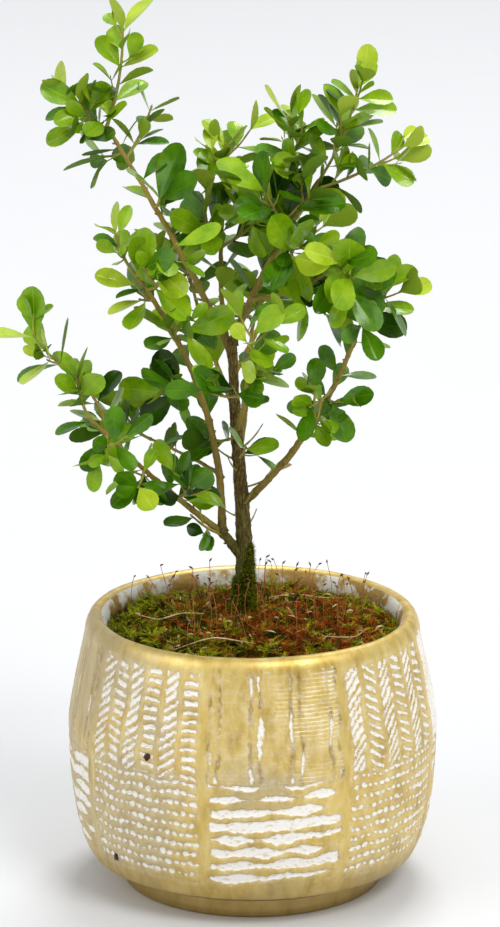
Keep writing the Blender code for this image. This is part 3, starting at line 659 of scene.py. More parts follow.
def mossSurface(x, y):
    out, reach = np.hypot(x, y), bedReach(moss["gap"])
    share = np.clip((out - moss["flat"]) / (reach - moss["flat"]), 0.0, 1.0)
    dome = moss["edge"] + (moss["crown"] - moss["edge"]) * np.cos(share * math.pi / 2)
    lumps = moss["lump"] * waves(x, y, moss["lumpWidth"], 11)
    lumps = lumps + moss["fineLump"] * waves(x, y, moss["fineWidth"], 12)
    banked = moss["bank"] * share ** 3 * (0.5 + 0.5 * waves(x, y, moss["bankWidth"], 13))
    return dome + banked + lumps * np.clip((out - 4.0) / 8.0, moss["lowLumps"], 1.0)


def soilMaterial():
    # damp potting soil full of crumbs and rotted moss: nearly black brown, matt, rough at 1 mm
    material, tree, shader, place = newMaterial("dampSoil")
    crumbs = addNode(tree, "TexVoronoi", {"Vector": place, "Scale": 0.7})
    stain = addNode(tree, "TexNoise", {"Vector": place, "Scale": 0.12, "Detail": 5.0, "Roughness": 0.7})
    brown = addNode(tree, "Mix", {"Factor": crumbs.outputs["Distance"], "A": linear("#341a08"),
                                  "B": linear("#0e0602")}, data_type="RGBA").outputs["Result"]
    green = addNode(tree, "MapRange", {"Value": stain.outputs["Fac"], "From Min": 0.45, "From Max": 0.6})
    colour = addNode(tree, "Mix", {"Factor": green.outputs["Result"], "A": brown, "B": linear("#2c2a08")},
                     data_type="RGBA").outputs["Result"]
    relief = addNode(tree, "Bump", {"Height": crumbs.outputs["Distance"], "Strength": 0.9,
                                    "Distance": 0.8 * mm})
    tree.links.new(colour, shader.inputs["Base Color"])
    tree.links.new(relief.outputs["Normal"], shader.inputs["Normal"])
    shader.inputs["Roughness"].default_value = 0.95
    shader.inputs["Specular IOR Level"].default_value = 0.05
    return material


def mossMaterial(name, low, high):
    # moss leaves one cell thick: soft and matt, uneven in tone from shoot to shoot
    material, tree, shader, place = newMaterial(name)
    fleck = addNode(tree, "TexNoise", {"Vector": place, "Scale": 0.28, "Detail": 4.0, "Roughness": 0.75})
    spread = addNode(tree, "MapRange", {"Value": fleck.outputs["Fac"], "From Min": 0.3, "From Max": 0.7})
    tone = addNode(tree, "Mix", {"Factor": spread.outputs["Result"], "A": linear(low), "B": linear(high)},
                   data_type="RGBA")
    tree.links.new(tone.outputs["Result"], shader.inputs["Base Color"])
    shader.inputs["Roughness"].default_value = 0.75
    shader.inputs["Specular IOR Level"].default_value = 0.08
    return material


def makeMossBed():
    # a block of soil that fills the pot; its flat top is then lifted into the dome
    reach, bottom = bedReach(moss["gap"]), pot["floor"] + moss["gap"]
    profile = [(r, moss["crown"]) for r in np.arange(0, reach, moss["ringStep"])]
    profile += [(reach, moss["edge"] - 0.6)]
    profile += [(wallRadius(h) - pot["wall"] - moss["gap"], h) for h in moss["innerRings"]]
    profile += [(moss["underEdge"], bottom), (0, bottom)]
    piece = turnProfile("mossBed", profile, moss["steps"])
    for vertex in piece.data.vertices:
        if vertex.co.z > (moss["edge"] - 0.5) * mm:
            level = mossSurface(vertex.co.x / mm, vertex.co.y / mm) - moss["soilDrop"]
            vertex.co.z = float(level) * mm
    piece.data.materials.append(soilMaterial())
    hand(piece, ["moss_bed"])


def addSpikes(heap, roots, ahead, up, lengths, widths):
    # many small pointed leaves at once: a three-cornered foot and a tip
    across = np.cross(ahead, up)
    across /= np.linalg.norm(across, axis=1)[:, None]
    lift = np.cross(across, ahead)
    corners = np.stack([roots - across * widths[:, None] / 2, roots + across * widths[:, None] / 2,
                        roots + lift * widths[:, None] * 0.45, roots + ahead * lengths[:, None]], axis=1)
    first = len(heap["points"])
    heap["points"].extend(corners.reshape(-1, 3))
    for a in range(first, first + 4 * len(roots), 4):
        heap["faces"].extend(((a, a + 1, a + 3), (a + 1, a + 2, a + 3), (a + 2, a, a + 3), (a, a + 2, a + 1)))
    heap["slots"].extend([0] * (4 * len(roots)))


def mossKind(x, y, dice):
    # which of the four tones a shoot has, in patches
    out = np.hypot(x, y) / bedReach(0.0)
    russet = waves(x, y, patches["russetWidth"], 21) + dice.normal(0, patches["uneven"], len(x))
    russet = russet + x / patches["toRight"] - patches["wallGreen"] * out ** 4
    bright = waves(x, y, patches["brightWidth"], 22) + patches["wallBright"] * out ** 3
    bright = bright + dice.normal(0, patches["uneven"], len(x))
    kind = np.where(bright > patches["brightFrom"], 0, 1)
    kind = np.where(russet > patches["russetFrom"], 2, kind)
    return np.where(dice.random(len(x)) < patches["straw"], 3, kind)


def mossPlaces(count, dice):
    reach = bedReach(0.9)
    out, turn = reach * np.sqrt(dice.random(count)), dice.random(count) * 2 * math.pi
    x, y = out * np.cos(turn), out * np.sin(turn)
    # bare soil shows in small gaps, more of them near the wall
    bare = waves(x, y, patches["bareWidth"], 31) + out / reach * patches["bareWall"] > patches["bareFrom"]
    return x[~bare], y[~bare]


def growFronds(heaps, dice):
    # creeping fronds, each a short stem with leaflets in two rows and one at its tip
    x, y = mossPlaces(moss["fronds"], dice)
    kinds = mossKind(x, y, dice)
    turn = dice.random(len(x)) * 2 * math.pi
    rise = np.radians(dice.uniform(*moss["frondRise"], len(x)))
    length = dice.uniform(*moss["frondLength"], len(x))
    foot = np.stack([x, y, mossSurface(x, y) - 0.7], axis=1)
    ahead = headings(turn, rise)
    overEdge = np.hypot(*(foot + ahead * length[:, None]).T[:2]) > bedReach(0.5)
    ahead[overEdge] *= (-1, -1, 1)
    upright = np.tile([0.0, 0.0, 1.0], (len(x), 1))
    aside = np.cross(ahead, upright)
    wide = np.full(len(x), moss["leafletWidth"])
    for step in range(moss["leafletPairs"] + 1):
        share = (step + 0.6) / (moss["leafletPairs"] + 0.6)
        droop = -moss["droop"] * share ** 2 * np.sin(rise) * length
        place = foot + ahead * (length * share)[:, None] + upright * droop[:, None]
        atTip = step == moss["leafletPairs"]
        for side in (0.0,) if atTip else (-1, 1):
            toward = ahead + aside * side * moss["leafletSpread"]
            toward = toward + upright * dice.uniform(-0.1, 0.45, len(x))[:, None]
            toward /= np.linalg.norm(toward, axis=1)[:, None]
            long = dice.uniform(*moss["leaflet"], len(x)) * (1.15 - 0.5 * share)
            for kind, heap in enumerate(heaps):
                mine = kinds == kind
                addSpikes(heap, place[mine], toward[mine], upright[mine] + 0.01 * ahead[mine], long[mine],
                          wide[mine])


def growTufts(heaps, dice):
    # upright tufts between the fronds
    x, y = mossPlaces(moss["tufts"], dice)
    kinds = mossKind(x, y, dice)
    x, y, kinds = (np.repeat(v, moss["tuftBlades"]) for v in (x, y, kinds))
    x = x + dice.normal(0, moss["tuftSpread"], len(x))
    y = y + dice.normal(0, moss["tuftSpread"], len(y))
    inside = np.hypot(x, y) < bedReach(0.5)
    x, y, kinds = x[inside], y[inside], kinds[inside]
    roots = np.stack([x, y, mossSurface(x, y) - 0.9], axis=1)
    turn = dice.random(len(x)) * 2 * math.pi
    ahead = headings(turn, np.radians(dice.uniform(*moss["tuftRise"], len(x))))
    level = np.stack([-ahead[:, 1], ahead[:, 0], np.zeros(len(x))], axis=1)
    long = dice.uniform(*moss["tuftHeight"], len(x))
    for kind, heap in enumerate(heaps):
        mine = kinds == kind
        addSpikes(heap, roots[mine], ahead[mine], np.cross(level, ahead)[mine], long[mine],
                  np.full(mine.sum(), moss["tuftWidth"]))


def growSleeve(line, heaps, dice):
    share = dice.random(sleeve["leaflets"]) ** sleeve["crowding"] * sleeve["height"]
    turn = dice.random(sleeve["leaflets"]) * 2 * math.pi
    keep = share < sleeve["low"] + sleeve["higher"] * np.clip(np.cos(turn + 0.5), 0, 1)
    share, turn = share[keep], turn[keep]
    roots = np.array([pointAt(line, s) + trunkRadius(s, t) * np.array([math.cos(t), math.sin(t), 0.0])
                      for s, t in zip(share, turn)])
    away = np.stack([np.cos(turn), np.sin(turn), dice.uniform(-0.5, 1.6, len(turn))], axis=1)
    away += dice.normal(0, sleeve["spread"], away.shape)
    away /= np.linalg.norm(away, axis=1)[:, None]
    long, wide = dice.uniform(*sleeve["length"], len(turn)), np.full(len(turn), sleeve["width"])
    bright = dice.random(len(turn)) < sleeve["bright"]
    for heap, mine in zip(heaps, (bright, ~bright)):
        up = away[mine] * (0.1, -0.2, 0.0) + (0.0, 0.0, 1.0)
        addSpikes(heap, roots[mine], away[mine], up, long[mine], wide[mine])


def growMoss(line):
    dice = np.random.default_rng(moss["seed"])
    heaps = [newHeap() for _ in mossTones]
    growFronds(heaps, dice)
    growTufts(heaps, dice)
    growSleeve(line, heaps, dice)
    for heap, (name, low, high) in zip(heaps, mossTones):
        piece = heapPiece(name, heap, [mossMaterial(name, low, high)])
        hand(piece, ["moss_bed"])


def dryMaterial(name, low, high):
    # dry stalks, capsules, straw and dead leaves: smooth, thin and a little waxy
    material, tree, shader, place = newMaterial(name)
    tone = addNode(tree, "TexNoise", {"Vector": place, "Scale": 0.2, "Detail": 2.0})
    mix = addNode(tree, "Mix", {"Factor": tone.outputs["Fac"], "A": linear(low), "B": linear(high)},
                  data_type="RGBA")
    tree.links.new(mix.outputs["Result"], shader.inputs["Base Color"])
    shader.inputs["Roughness"].default_value = 0.5
    return material


# ripe moss puts up wiry stalks in groups, each stalk with a nodding capsule
stalks = dict(groups=((-16, 18), (8, 24), (30, 22), (-30, 14), (0, -6), (22, -8), (-12, -20), (36, 2)),
              count=64, scatter=(7.0, 8.0), reach=47, bare=6, height=(8.0, 18.5), lean=0.14, bend=0.9,
              radius=0.1, capsule=1.5, capsuleRadii=(0.12, 0.27, 0.36, 0.306, 0.18, 0.1))


def growStalks():
    dice = random.Random(moss["seed"] + 1)
    heap = newHeap()
    for number in range(stalks["count"]):
        near = stalks["groups"][number % len(stalks["groups"])]
        x, y = (dice.gauss(middle, scatter) for middle, scatter in zip(near, stalks["scatter"]))
        besideTrunk = math.hypot(x - trunk["foot"][0], y - trunk["foot"][1]) < stalks["bare"]
        if math.hypot(x, y) > stalks["reach"] or besideTrunk:
            continue
        tall = dice.uniform(*stalks["height"])
        lean = np.array([dice.gauss(0, stalks["lean"]), dice.gauss(0, stalks["lean"]), 1.0])
        foot = np.array([x, y, float(mossSurface(x, y)) - 1.0])
        bend = np.array([dice.gauss(0, stalks["bend"]), dice.gauss(0, stalks["bend"]), 0.0])
        t = np.linspace(0, 1, 7)[:, None]
        line = foot + unit(lean) * tall * t + bend * np.sin(t * math.pi * 0.9)
        nod = unit(np.array([dice.gauss(0, 1), dice.gauss(0, 1), 0.25]))
        line[-1] += nod * 0.5
        addLimb(heap, line, [stalks["radius"]] * 7, 4, 0)
        pod = line[-1] + np.linspace(-0.15, 1.0, 6)[:, None] * stalks["capsule"] * unit(nod + (0, 0, 0.35))
        addLimb(heap, pod, stalks["capsuleRadii"], 6, 1)
    piece = heapPiece("mossStalks", heap, [dryMaterial("russetStalk", "#8e3a1c", "#c07a3c"),
                                           dryMaterial("ripeCapsule", "#3b1d0f", "#7a4a20")])
    hand(piece, ["moss_bed"])


# dry strands by the places they run through, and scraps of old leaf strewn over the moss
straw = dict(strands=(((-27, -33), (-14, -28), (-4, -27), (1, -33)),
                      ((24, -25), (30, -22), (36, -18), (40, -10)),
                      ((-40, 4), (-33, -2), (-25, -4), (-17, -2)),
                      ((6, 22), (14, 26), (24, 25), (33, 30))),
             above=1.6, girth=(0.12, 0.34, 0.1), scraps=46, reach=46, scrapLength=(1.6, 4.2),
             scrapGirth=(0.1, 0.3, 0.38, 0.28, 0.08), arch=0.25)


def layStraw():
    heap = newHeap()
    for strand in straw["strands"]:
        knots = np.array([(x, y, float(mossSurface(x, y)) + straw["above"]) for x, y in strand])
        t = np.linspace(0, 3, 19)
        line = np.stack([np.interp(t, range(4), knots[:, axis]) for axis in range(3)], axis=1)
        for _ in range(3):
            line[1:-1] = (line[:-2] + line[1:-1] * 2 + line[2:]) / 4
        addLimb(heap, line, np.interp(t, (0, 1.5, 3), straw["girth"]), 5)
    dice = random.Random(moss["seed"] + 2)
    share = np.linspace(0, 1, 5)[:, None]
    arch = (0, 0, straw["arch"]) * np.sin(share * math.pi)
    for _ in range(straw["scraps"]):
        turn, out = dice.uniform(0, 2 * math.pi), straw["reach"] * math.sqrt(dice.random())
        x, y = out * math.cos(turn), out * math.sin(turn)
        foot = np.array([x, y, float(mossSurface(x, y)) + dice.uniform(0.3, 1.3)])
        way = np.array([math.cos(turn * 3.1), math.sin(turn * 3.1), dice.uniform(-0.25, 0.35)])
        line = foot + unit(way) * dice.uniform(*straw["scrapLength"]) * share + arch
        addLimb(heap, line, np.array(straw["scrapGirth"]) * dice.uniform(0.7, 1.5), 4)
    piece = heapPiece("strawBits", heap, [dryMaterial("dryStraw", "#9c7a48", "#dcc492")])
    hand(piece, ["moss_bed"])


# trunk and boughs

# the trunk's line, its radius at the foot and at the top, and the lobes where its roots spread
trunk = dict(foot=(-3.4, 8.0), heading=-136, rise=87, length=97.9, lift=0.6, drift=0.6, sway=0.9,
             radii=(3.4, 1.55), flare=1.9, flareHeight=4.5, lobes=5)

# each limb leaves another at a share of it; buried is how much of its line lies inside that one
limbs = {
    "left_fork": dict(on="trunk", at=0.20, heading=-161, rise=52, length=13.4, lift=-0.5, buried=6.8,
                      radii=(1.75, 1.5)),
    "left_stem": dict(on="left_fork", at=1.0, heading=-149, rise=70, length=103.6, lift=7.2, drift=4.6,
                      buried=1.2, radii=(1.4, 0.75)),
    "low_left_bough": dict(on="left_fork", at=0.75, heading=-152, rise=43, length=71.8, lift=-1.2,
                           buried=4.6, radii=(1.15, 0.6)),
    "left_riser": dict(on="low_left_bough", at=0.85, heading=-172, rise=63, length=24.9, lift=2.2,
                       buried=2.8, radii=(0.6, 0.45)),
    "inner_left_bough": dict(on="left_stem", at=0.20, heading=137, rise=11, length=33.1, lift=0.6,
                             buried=1.8, radii=(0.7, 0.45)),
    "right_leader": dict(on="trunk", at=1.0, heading=-20, rise=62, length=66.6, lift=1.7, drift=-0.7,
                         buried=1.0, radii=(1.35, 0.75)),
    "left_leader": dict(on="trunk", at=0.955, heading=171, rise=61, length=90.4, lift=1.4, buried=5.2,
                        radii=(1.3, 0.6)),
    "centre_stem": dict(on="trunk", at=0.90, heading=99, rise=69, length=57.9, lift=-0.4, drift=2.5,
                        buried=6.2, radii=(1.0, 0.65)),
    "right_branch": dict(on="right_leader", at=0.25, heading=-36, rise=25, length=40.4, lift=-2.4,
                         buried=2.6, radii=(0.7, 0.5)),
    "right_bough": dict(on="trunk", at=0.40, heading=-25, rise=57, length=80.5, lift=-4.8, drift=1.5,
                        buried=5.0, radii=(1.4, 0.75)),
    "front_bough": dict(on="trunk", at=0.68, heading=-84, rise=39, length=52.0, lift=-4.2, buried=3.2,
                        radii=(0.95, 0.6)),
    "back_bough": dict(on="trunk", at=0.57, heading=83, rise=44, length=53.1, lift=-5.6, buried=3.2,
                       radii=(1.0, 0.6)),
    "back_left_bough": dict(on="trunk", at=0.75, heading=112, rise=40, length=48.3, lift=-4.7,
                            drift=-1.5, buried=2.8, radii=(0.95, 0.6)),
    "back_right_bough": dict(on="trunk", at=0.88, heading=63, rise=38, length=52.1, lift=-4.6,
                             drift=1.8, buried=2.4, radii=(0.9, 0.6)),
}

# limbs are built ring by ring: the rings' sides and spacing, the swelling at each foot and joint, the
# height of the bark's cracks and knobs, and the radius from which wood counts as old
wood = dict(sides=20, spacing=0.4, trunkSides=40, trunkRings=230, collar=0.5, collarReach=2.4, wander=0.16,
            wanderLength=3.1, knotSpacing=7.0, knot=0.10, relief=0.30, crackAcross=0.95, crackAlong=0.26,
            knobs=0.2, knobScale=0.45, oldRadius=3.4, thinShare=0.3, capAge=0.45,
            cap=((0.5, 0.92), (0.95, 0.7), (1.2, 0.35)))
# short stubs where twigs have been cut off
stubs = dict(first=(4, 9), spacing=(7, 12), last=3, lean=0.7, length=(0.5, 1.3), mostRadius=0.9, sides=8,
             girth=(0.75, 0.6, 0.5, 0.46, 0.36))


def trunkRadius(share, turn):
    height = share * trunk["length"]
    radius = trunk["radii"][0] + (trunk["radii"][1] - trunk["radii"][0]) * share ** 0.8
    spread = trunk["flare"] * math.exp(-height / trunk["flareHeight"])
    return radius + spread * (0.75 + 0.25 * math.cos(trunk["lobes"] * turn))


def trunkLine(count):
    start = (*trunk["foot"], moss["crown"] + moss["gap"])
    return bowedLine(start, trunk["heading"], trunk["rise"], trunk["length"], trunk["lift"], trunk["drift"],
                     trunk["sway"], count)


def limbLines():
    # the bare line of each limb where others leave it, and its whole line from inside its parent
    lines, whole = {"trunk": trunkLine(15)}, {}
    for name, size in limbs.items():
        start = pointAt(lines[size["on"]], size["at"])
        shape = (size["heading"], size["rise"], size["length"], size["lift"], size.get("drift", 0.0))
        lines[name] = shortened(bowedLine(start, *shape), size["buried"], 8)
        whole[name] = bowedLine(start, *shape, count=max(8, round(size["length"] / wood["spacing"])))
    return lines, whole


# old wood has dark cracks between pale plates; young wood and the film of algae have their own tones
bark = dict(crack="#2a200a", plate="#5a4a1e", pale="#9c8850", youngLow="#6a5a1a", youngHigh="#c0a854",
            young=0.30, old=0.52, algae="#3c4a0a", algaeFrom=162.0, algaeFull=98.0)


def barkMaterial():
    # boxwood bark: thin and corky, grey-brown with fine upright cracks on old wood; the youngest
    # wood is smooth and olive-yellow, and a film of green algae sits near the foot
    material, tree, shader, place = newMaterial("boxwoodBark")
    age = addNode(tree, "Attribute", attribute_name="age").outputs["Fac"]
    blotch = addNode(tree, "TexNoise", {"Vector": place, "Scale": 0.35, "Detail": 4.0, "Roughness": 0.7})
    grain = addNode(tree, "VectorMath", (place, (2.4, 2.4, 0.42)), operation="MULTIPLY").outputs[0]
    grain = addNode(tree, "TexNoise", {"Vector": grain, "Scale": 1.0, "Detail": 5.0, "Roughness": 0.75})
    old = addNode(tree, "ValToRGB", (grain.outputs["Fac"],))
    ramp = old.color_ramp
    ramp.elements[0].position = 0.34
    ramp.elements[0].color = linear(bark["crack"])
    ramp.elements[1].position = 0.66
    ramp.elements[1].color = linear(bark["pale"])
    middle = ramp.elements.new(0.5)
    middle.color = linear(bark["plate"])
    young = addNode(tree, "Mix", {"Factor": grain.outputs["Fac"], "A": linear(bark["youngLow"]),
                                  "B": linear(bark["youngHigh"])}, data_type="RGBA").outputs["Result"]
    ripe = addNode(tree, "MapRange", {"Value": age, "From Min": bark["young"],
                                      "From Max": bark["old"]}).outputs["Result"]
    colour = addNode(tree, "Mix", {"Factor": ripe, "A": young, "B": old.outputs["Color"]},
                     data_type="RGBA").outputs["Result"]
    height = addNode(tree, "SeparateXYZ", (place,)).outputs["Z"]
    film = addNode(tree, "MapRange", {"Value": height, "From Min": bark["algaeFrom"],
                                      "From Max": bark["algaeFull"]}).outputs["Result"]
    film = addNode(tree, "Math", (film, blotch.outputs["Fac"]), operation="MULTIPLY").outputs[0]
    film = addNode(tree, "MapRange", {"Value": film, "From Min": 0.2, "From Max": 0.45, "To Max": 0.85})
    colour = addNode(tree, "Mix", {"Factor": film.outputs["Result"], "A": colour, "B": linear(bark["algae"])},
                     data_type="RGBA").outputs["Result"]
    rough = addNode(tree, "MapRange", {"Value": grain.outputs["Fac"], "From Min": 0.3, "From Max": 0.7,
                                       "To Min": 0.9, "To Max": 0.62}).outputs["Result"]
    relief = addNode(tree, "Bump", {"Height": grain.outputs["Fac"], "Strength": 0.8, "Distance": 0.35 * mm})
    tree.links.new(colour, shader.inputs["Base Color"])
    tree.links.new(rough, shader.inputs["Roughness"])
    tree.links.new(relief.outputs["Normal"], shader.inputs["Normal"])
    shader.inputs["Specular IOR Level"].default_value = 0.25
    return material


def ageOf(radius):
    return min(radius / wood["oldRadius"], 1.0)


def barkRelief(seed):
    # upright cracks and low knobs that grow with the girth of the wood
    def height(turn, radius, far):
        x, y = math.cos(turn) * radius, math.sin(turn) * radius
        cracks = noise.fractal(Vector((x * wood["crackAcross"], y * wood["crackAcross"],
                                       far * wood["crackAlong"] + seed * 7.3)), 0.6, 2.1, 4)
        knobs = noise.noise(Vector((x, y, far)) * wood["knobScale"] + Vector((0, 0, seed * 5.1)))
        size = wood["thinShare"] + ageOf(radius)
        return (wood["relief"] * cracks + wood["knobs"] * knobs) * size
    return height


def addTrunk(heap, ages):
    line = trunkLine(wood["trunkRings"])
    sides, relief = wood["trunkSides"], barkRelief(0)
    turns = [2 * math.pi * k / sides for k in range(sides)]
    circle = np.array([(math.cos(turn), math.sin(turn), 0.0) for turn in turns])
    rings = []
    for share, centre in zip(np.linspace(0, 1, len(line)), line):
        girth = [trunkRadius(share, turn) for turn in turns]
        reach = [g + relief(turn, g, share * trunk["length"]) for g, turn in zip(girth, turns)]
        rings.append(centre + circle * np.array(reach)[:, None])
        ages += [ageOf(girth[0])] * sides
    # its top is rounded over between the boughs
    top = rings[-1]
    for lift, share in wood["cap"]:
        rings.append(line[-1] + (top - line[-1]) * share + (0, 0, lift))
        ages += [wood["capAge"]] * sides
    addRings(heap, rings)


def addStubs(heap, ages, line, far, girth, dice):
    place = dice.uniform(*stubs["first"])
    for place in np.arange(place, far[-1] - stubs["last"], dice.uniform(*stubs["spacing"])):
        foot, along = pointAt(line, place / far[-1]), tangentAt(line, place / far[-1])
        turn = dice.uniform(0, 2 * math.pi)
        level = levelOf(along)
        out = unit(level * math.cos(turn) + np.cross(along, level) * math.sin(turn) + along * stubs["lean"])
        size = float(np.interp(place, far, girth))
        radii = np.array(stubs["girth"]) * min(size, stubs["mostRadius"])
        stub = foot + out * np.linspace(0, size + dice.uniform(*stubs["length"]), len(radii))[:, None]
        addLimb(heap, stub, radii, stubs["sides"])
        ages += [ageOf(size)] * (len(radii) * stubs["sides"])


def makeWood(whole):
    heap, ages = newHeap(), []
    addTrunk(heap, ages)
    for number, (name, line) in enumerate(whole.items()):
        dice = random.Random(number)
        thick, thin = limbs[name]["radii"]
        share = np.linspace(0, 1, len(line))
        far = share * limbs[name]["length"]
        girth = thick + (thin - thick) * share
        girth = girth * (1 + wood["collar"] * np.exp(-far / wood["collarReach"]))
        girth = girth * (1 + wood["knot"] * np.clip(np.cos(2 * np.pi * far / wood["knotSpacing"]), 0, 1) ** 6)
        aside = np.array([math.cos(number), math.sin(number), 0.0])
        sway = np.sin(far / wood["wanderLength"] + dice.uniform(0, 6)) * np.sin(np.pi * share)
        line = line + aside * (wood["wander"] * sway)[:, None]
        addLimb(heap, line, girth, wood["sides"], 0, barkRelief(number + 1))
        ages += [ageOf(radius) for radius in girth for _ in range(wood["sides"])]
        addStubs(heap, ages, line, far, girth, dice)
    piece = heapPiece("barkedWood", heap, [barkMaterial()])
    age = piece.data.attributes.new("age", "FLOAT", "POINT")
    age.data.foreach_set("value", ages)
    hand(piece, ["trunk", *limbs])
    print("wood:", len(piece.data.polygons), "faces")


# twigs and leaves

# each mass grows from one stem: its limb and the place along it, the stem's heading, rise and length,
# the length of a leaf, the pairs of leaves on the stem, the side twigs with their reach, the seed, and
# how light its leaves are, from 0 for dark old ones to 3 for the freshest
Mass = namedtuple("Mass", "on at heading rise length leaf pairs twigs reach seed light")
masses = {
    "top_up": Mass("left_leader", 1.00, -27, 79, 35, 15, 3, 0, 0, 794, 2.0),
    "top_left": Mass("left_leader", 0.98, -139, 42, 17, 14, 2, 1, 9, 913, 1.8),
    "top_far_left": Mass("left_leader", 0.95, -179, 44, 23, 14, 3, 1, 10, 330, 1.7),
    "top_side_left": Mass("left_leader", 0.88, 126, -15, 13, 17, 2, 0, 0, 141, 0.8),
    "top_right": Mass("left_leader", 0.85, 44, 54, 20, 12, 3, 0, 0, 949, 1.8),
    "left_leader_side": Mass("left_leader", 0.62, -71, 36, 8, 22, 2, 0, 0, 74, 1.0),
    "left_top": Mass("left_stem", 1.00, -144, 64, 16, 11, 3, 1, 9, 495, 2.2),
    "left_top_right": Mass("left_stem", 0.98, -44, 35, 24, 19, 2, 1, 12, 128, 1.8),
    "left_high_right": Mass("left_stem", 0.92, -53, 25, 12, 16, 2, 1, 12, 154, 1.7),
    "left_high_left": Mass("left_stem", 0.88, -142, 9, 5, 14, 2, 1, 9, 962, 1.7),
    "left_mid_left": Mass("left_stem", 0.70, -122, 46, 10, 13, 2, 1, 8, 478, 1.6),
    "left_mid_right": Mass("left_stem", 0.78, -21, -17, 8, 17, 3, 1, 12, 452, 1.4),
    "left_low_left": Mass("left_stem", 0.52, -151, 2, 14, 15, 3, 2, 10, 548, 1.1),
    "far_left": Mass("low_left_bough", 1.00, -154, 74, 15, 13, 3, 1, 9, 655, 1.6),
    "far_left_top": Mass("left_riser", 1.00, -162, 46, 20, 16, 3, 1, 9, 226, 1.9),
    "lower_left": Mass("low_left_bough", 0.85, -87, -3, 15, 13, 2, 2, 10, 95, 1.3),
    "low_left_under": Mass("low_left_bough", 0.55, -95, -3, 19, 13, 2, 1, 10, 536, 1.2),
    "low_left_inner": Mass("low_left_bough", 0.30, -78, 23, 25, 13, 3, 2, 16, 309, 1.2),
    "inner_left": Mass("inner_left_bough", 1.00, 168, 31, 10, 14, 3, 3, 14, 599, 1.0),
    "low_twig": Mass("left_fork", 0.65, -136, 33, 19, 13, 1, 0, 0, 583, 0.8),
    "centre_top": Mass("centre_stem", 1.00, 72, 84, 21, 12, 5, 3, 14, 31, 2.7),
    "centre_left": Mass("centre_stem", 0.80, -149, 43, 10, 16, 3, 2, 12, 770, 1.7),
    "centre_right": Mass("centre_stem", 0.72, -35, 37, 21, 18, 3, 2, 12, 828, 2.0),
    "right_fork_left": Mass("right_leader", 0.88, 153, 76, 29, 14, 5, 3, 15, 49, 2.0),
    "right_top": Mass("right_leader", 1.00, -5, 68, 36, 14, 5, 3, 15, 144, 1.9),
    "right_end": Mass("right_leader", 0.95, -5, 27, 35, 13, 4, 1, 12, 110, 2.0),
    "right_side": Mass("right_leader", 0.80, -58, 42, 10, 15, 2, 1, 12, 584, 1.3),
    "right_low_side": Mass("right_leader", 0.60, -67, 8, 20, 19, 2, 1, 12, 78, 1.4),
    "right_inner": Mass("right_leader", 0.70, -128, 50, 20, 17, 3, 2, 13, 526, 1.1),
    "right_mid": Mass("right_branch", 1.00, -66, -10, 12, 17, 3, 2, 10, 721, 1.6),
    "right_branch_under": Mass("right_branch", 0.42, -38, -15, 11, 14, 2, 1, 8, 398, 1.0),
    "right_bough_top": Mass("right_bough", 1.00, -51, 58, 20, 15, 5, 2, 12, 461, 1.7),
    "right_bough_left": Mass("right_bough", 0.68, -122, -12, 15, 12, 3, 2, 9, 101, 1.3),
    "right_bough_right": Mass("right_bough", 0.62, -75, 12, 15, 15, 2, 0, 0, 778, 0.9),
    "right_bough_foot": Mass("right_bough", 0.48, -81, 21, 17, 11, 3, 1, 12, 677, 1.5),
    "front_top": Mass("front_bough", 1.00, -80, 51, 18, 14, 3, 3, 14, 458, 1.8),
    "front_left": Mass("front_bough", 0.68, -132, 7, 12, 16, 2, 2, 12, 972, 1.2),
    "front_right": Mass("front_bough", 0.80, -21, 41, 6, 13, 2, 1, 10, 892, 1.4),
    "trunk_right": Mass("trunk", 0.57, -78, 30, 14, 14, 1, 0, 0, 974, 1.0),
    "trunk_left": Mass("trunk", 0.65, -144, 0, 10, 13, 2, 1, 12, 69, 1.0),
    "back_top": Mass("back_bough", 1.00, 72, 53, 15, 15, 3, 3, 15, 350, 1.6),
    "back_left": Mass("back_left_bough", 1.00, 117, 63, 16, 15, 3, 3, 15, 125, 1.6),
    "back_right": Mass("back_right_bough", 1.00, 48, 51, 13, 14, 3, 3, 15, 712, 1.6),
}

# how shoots branch and hold their leaves; leaves turn their faces up to the light and outwards
shoot = dict(bow=-0.05, spiral=137.5, unevenSpiral=25, twigFrom=0.15, twigOpening=(30, 65), shortest=0.6,
             twigLift=(0, 0, 0.15), twigLeaf=0.94, pairSpacing=6.0, stemCut=1.2, stemRadii=(0.60, 0.36),
             twigRadii=(0.46, 0.26), bareFoot=2.0, bareTop=0.8, tipSink=1.2, unevenTurn=14,
             tipOpening=(26, 48), sideOpening=(48, 72), leafLength=(0.9, 1.12), leafWidth=(0.50, 0.62),
             tilt=22, light=(0, -0.45, 0.8), crownMiddle=(0, 6, 0), crownRadius=60, facing=0.75,
             fillGap=7.6, fillLeaf=0.86, tipLight=0.5, downLight=-0.25, unevenLight=0.45)
# the finer growth: twigs between the source's own, kept within the mass's space and a little slack
fine = dict(spacing=11.0, reach=8.0, radii=(0.34, 0.18), leaf=0.68, largestLeaf=13, tipRoom=4.0,
            darker=0.2, slack=1.2)
# pairs of leaves set straight on the boughs
boughPairs = dict(spacing=6.8, leaf=12.0, leafLength=(0.78, 1.18), opening=(42, 76), unevenTurn=16,
                  missing=0.14, sunk=0.75, bareTop=2, unevenLight=0.5)
# a twig is thicker at its foot and at each joint of leaves, and ends in a bud
twigShape = dict(foot=1.25, joint=0.14, sides=6, budLength=1.3, bud=(1.0, 1.35, 0.9, 0.15), budSides=5)

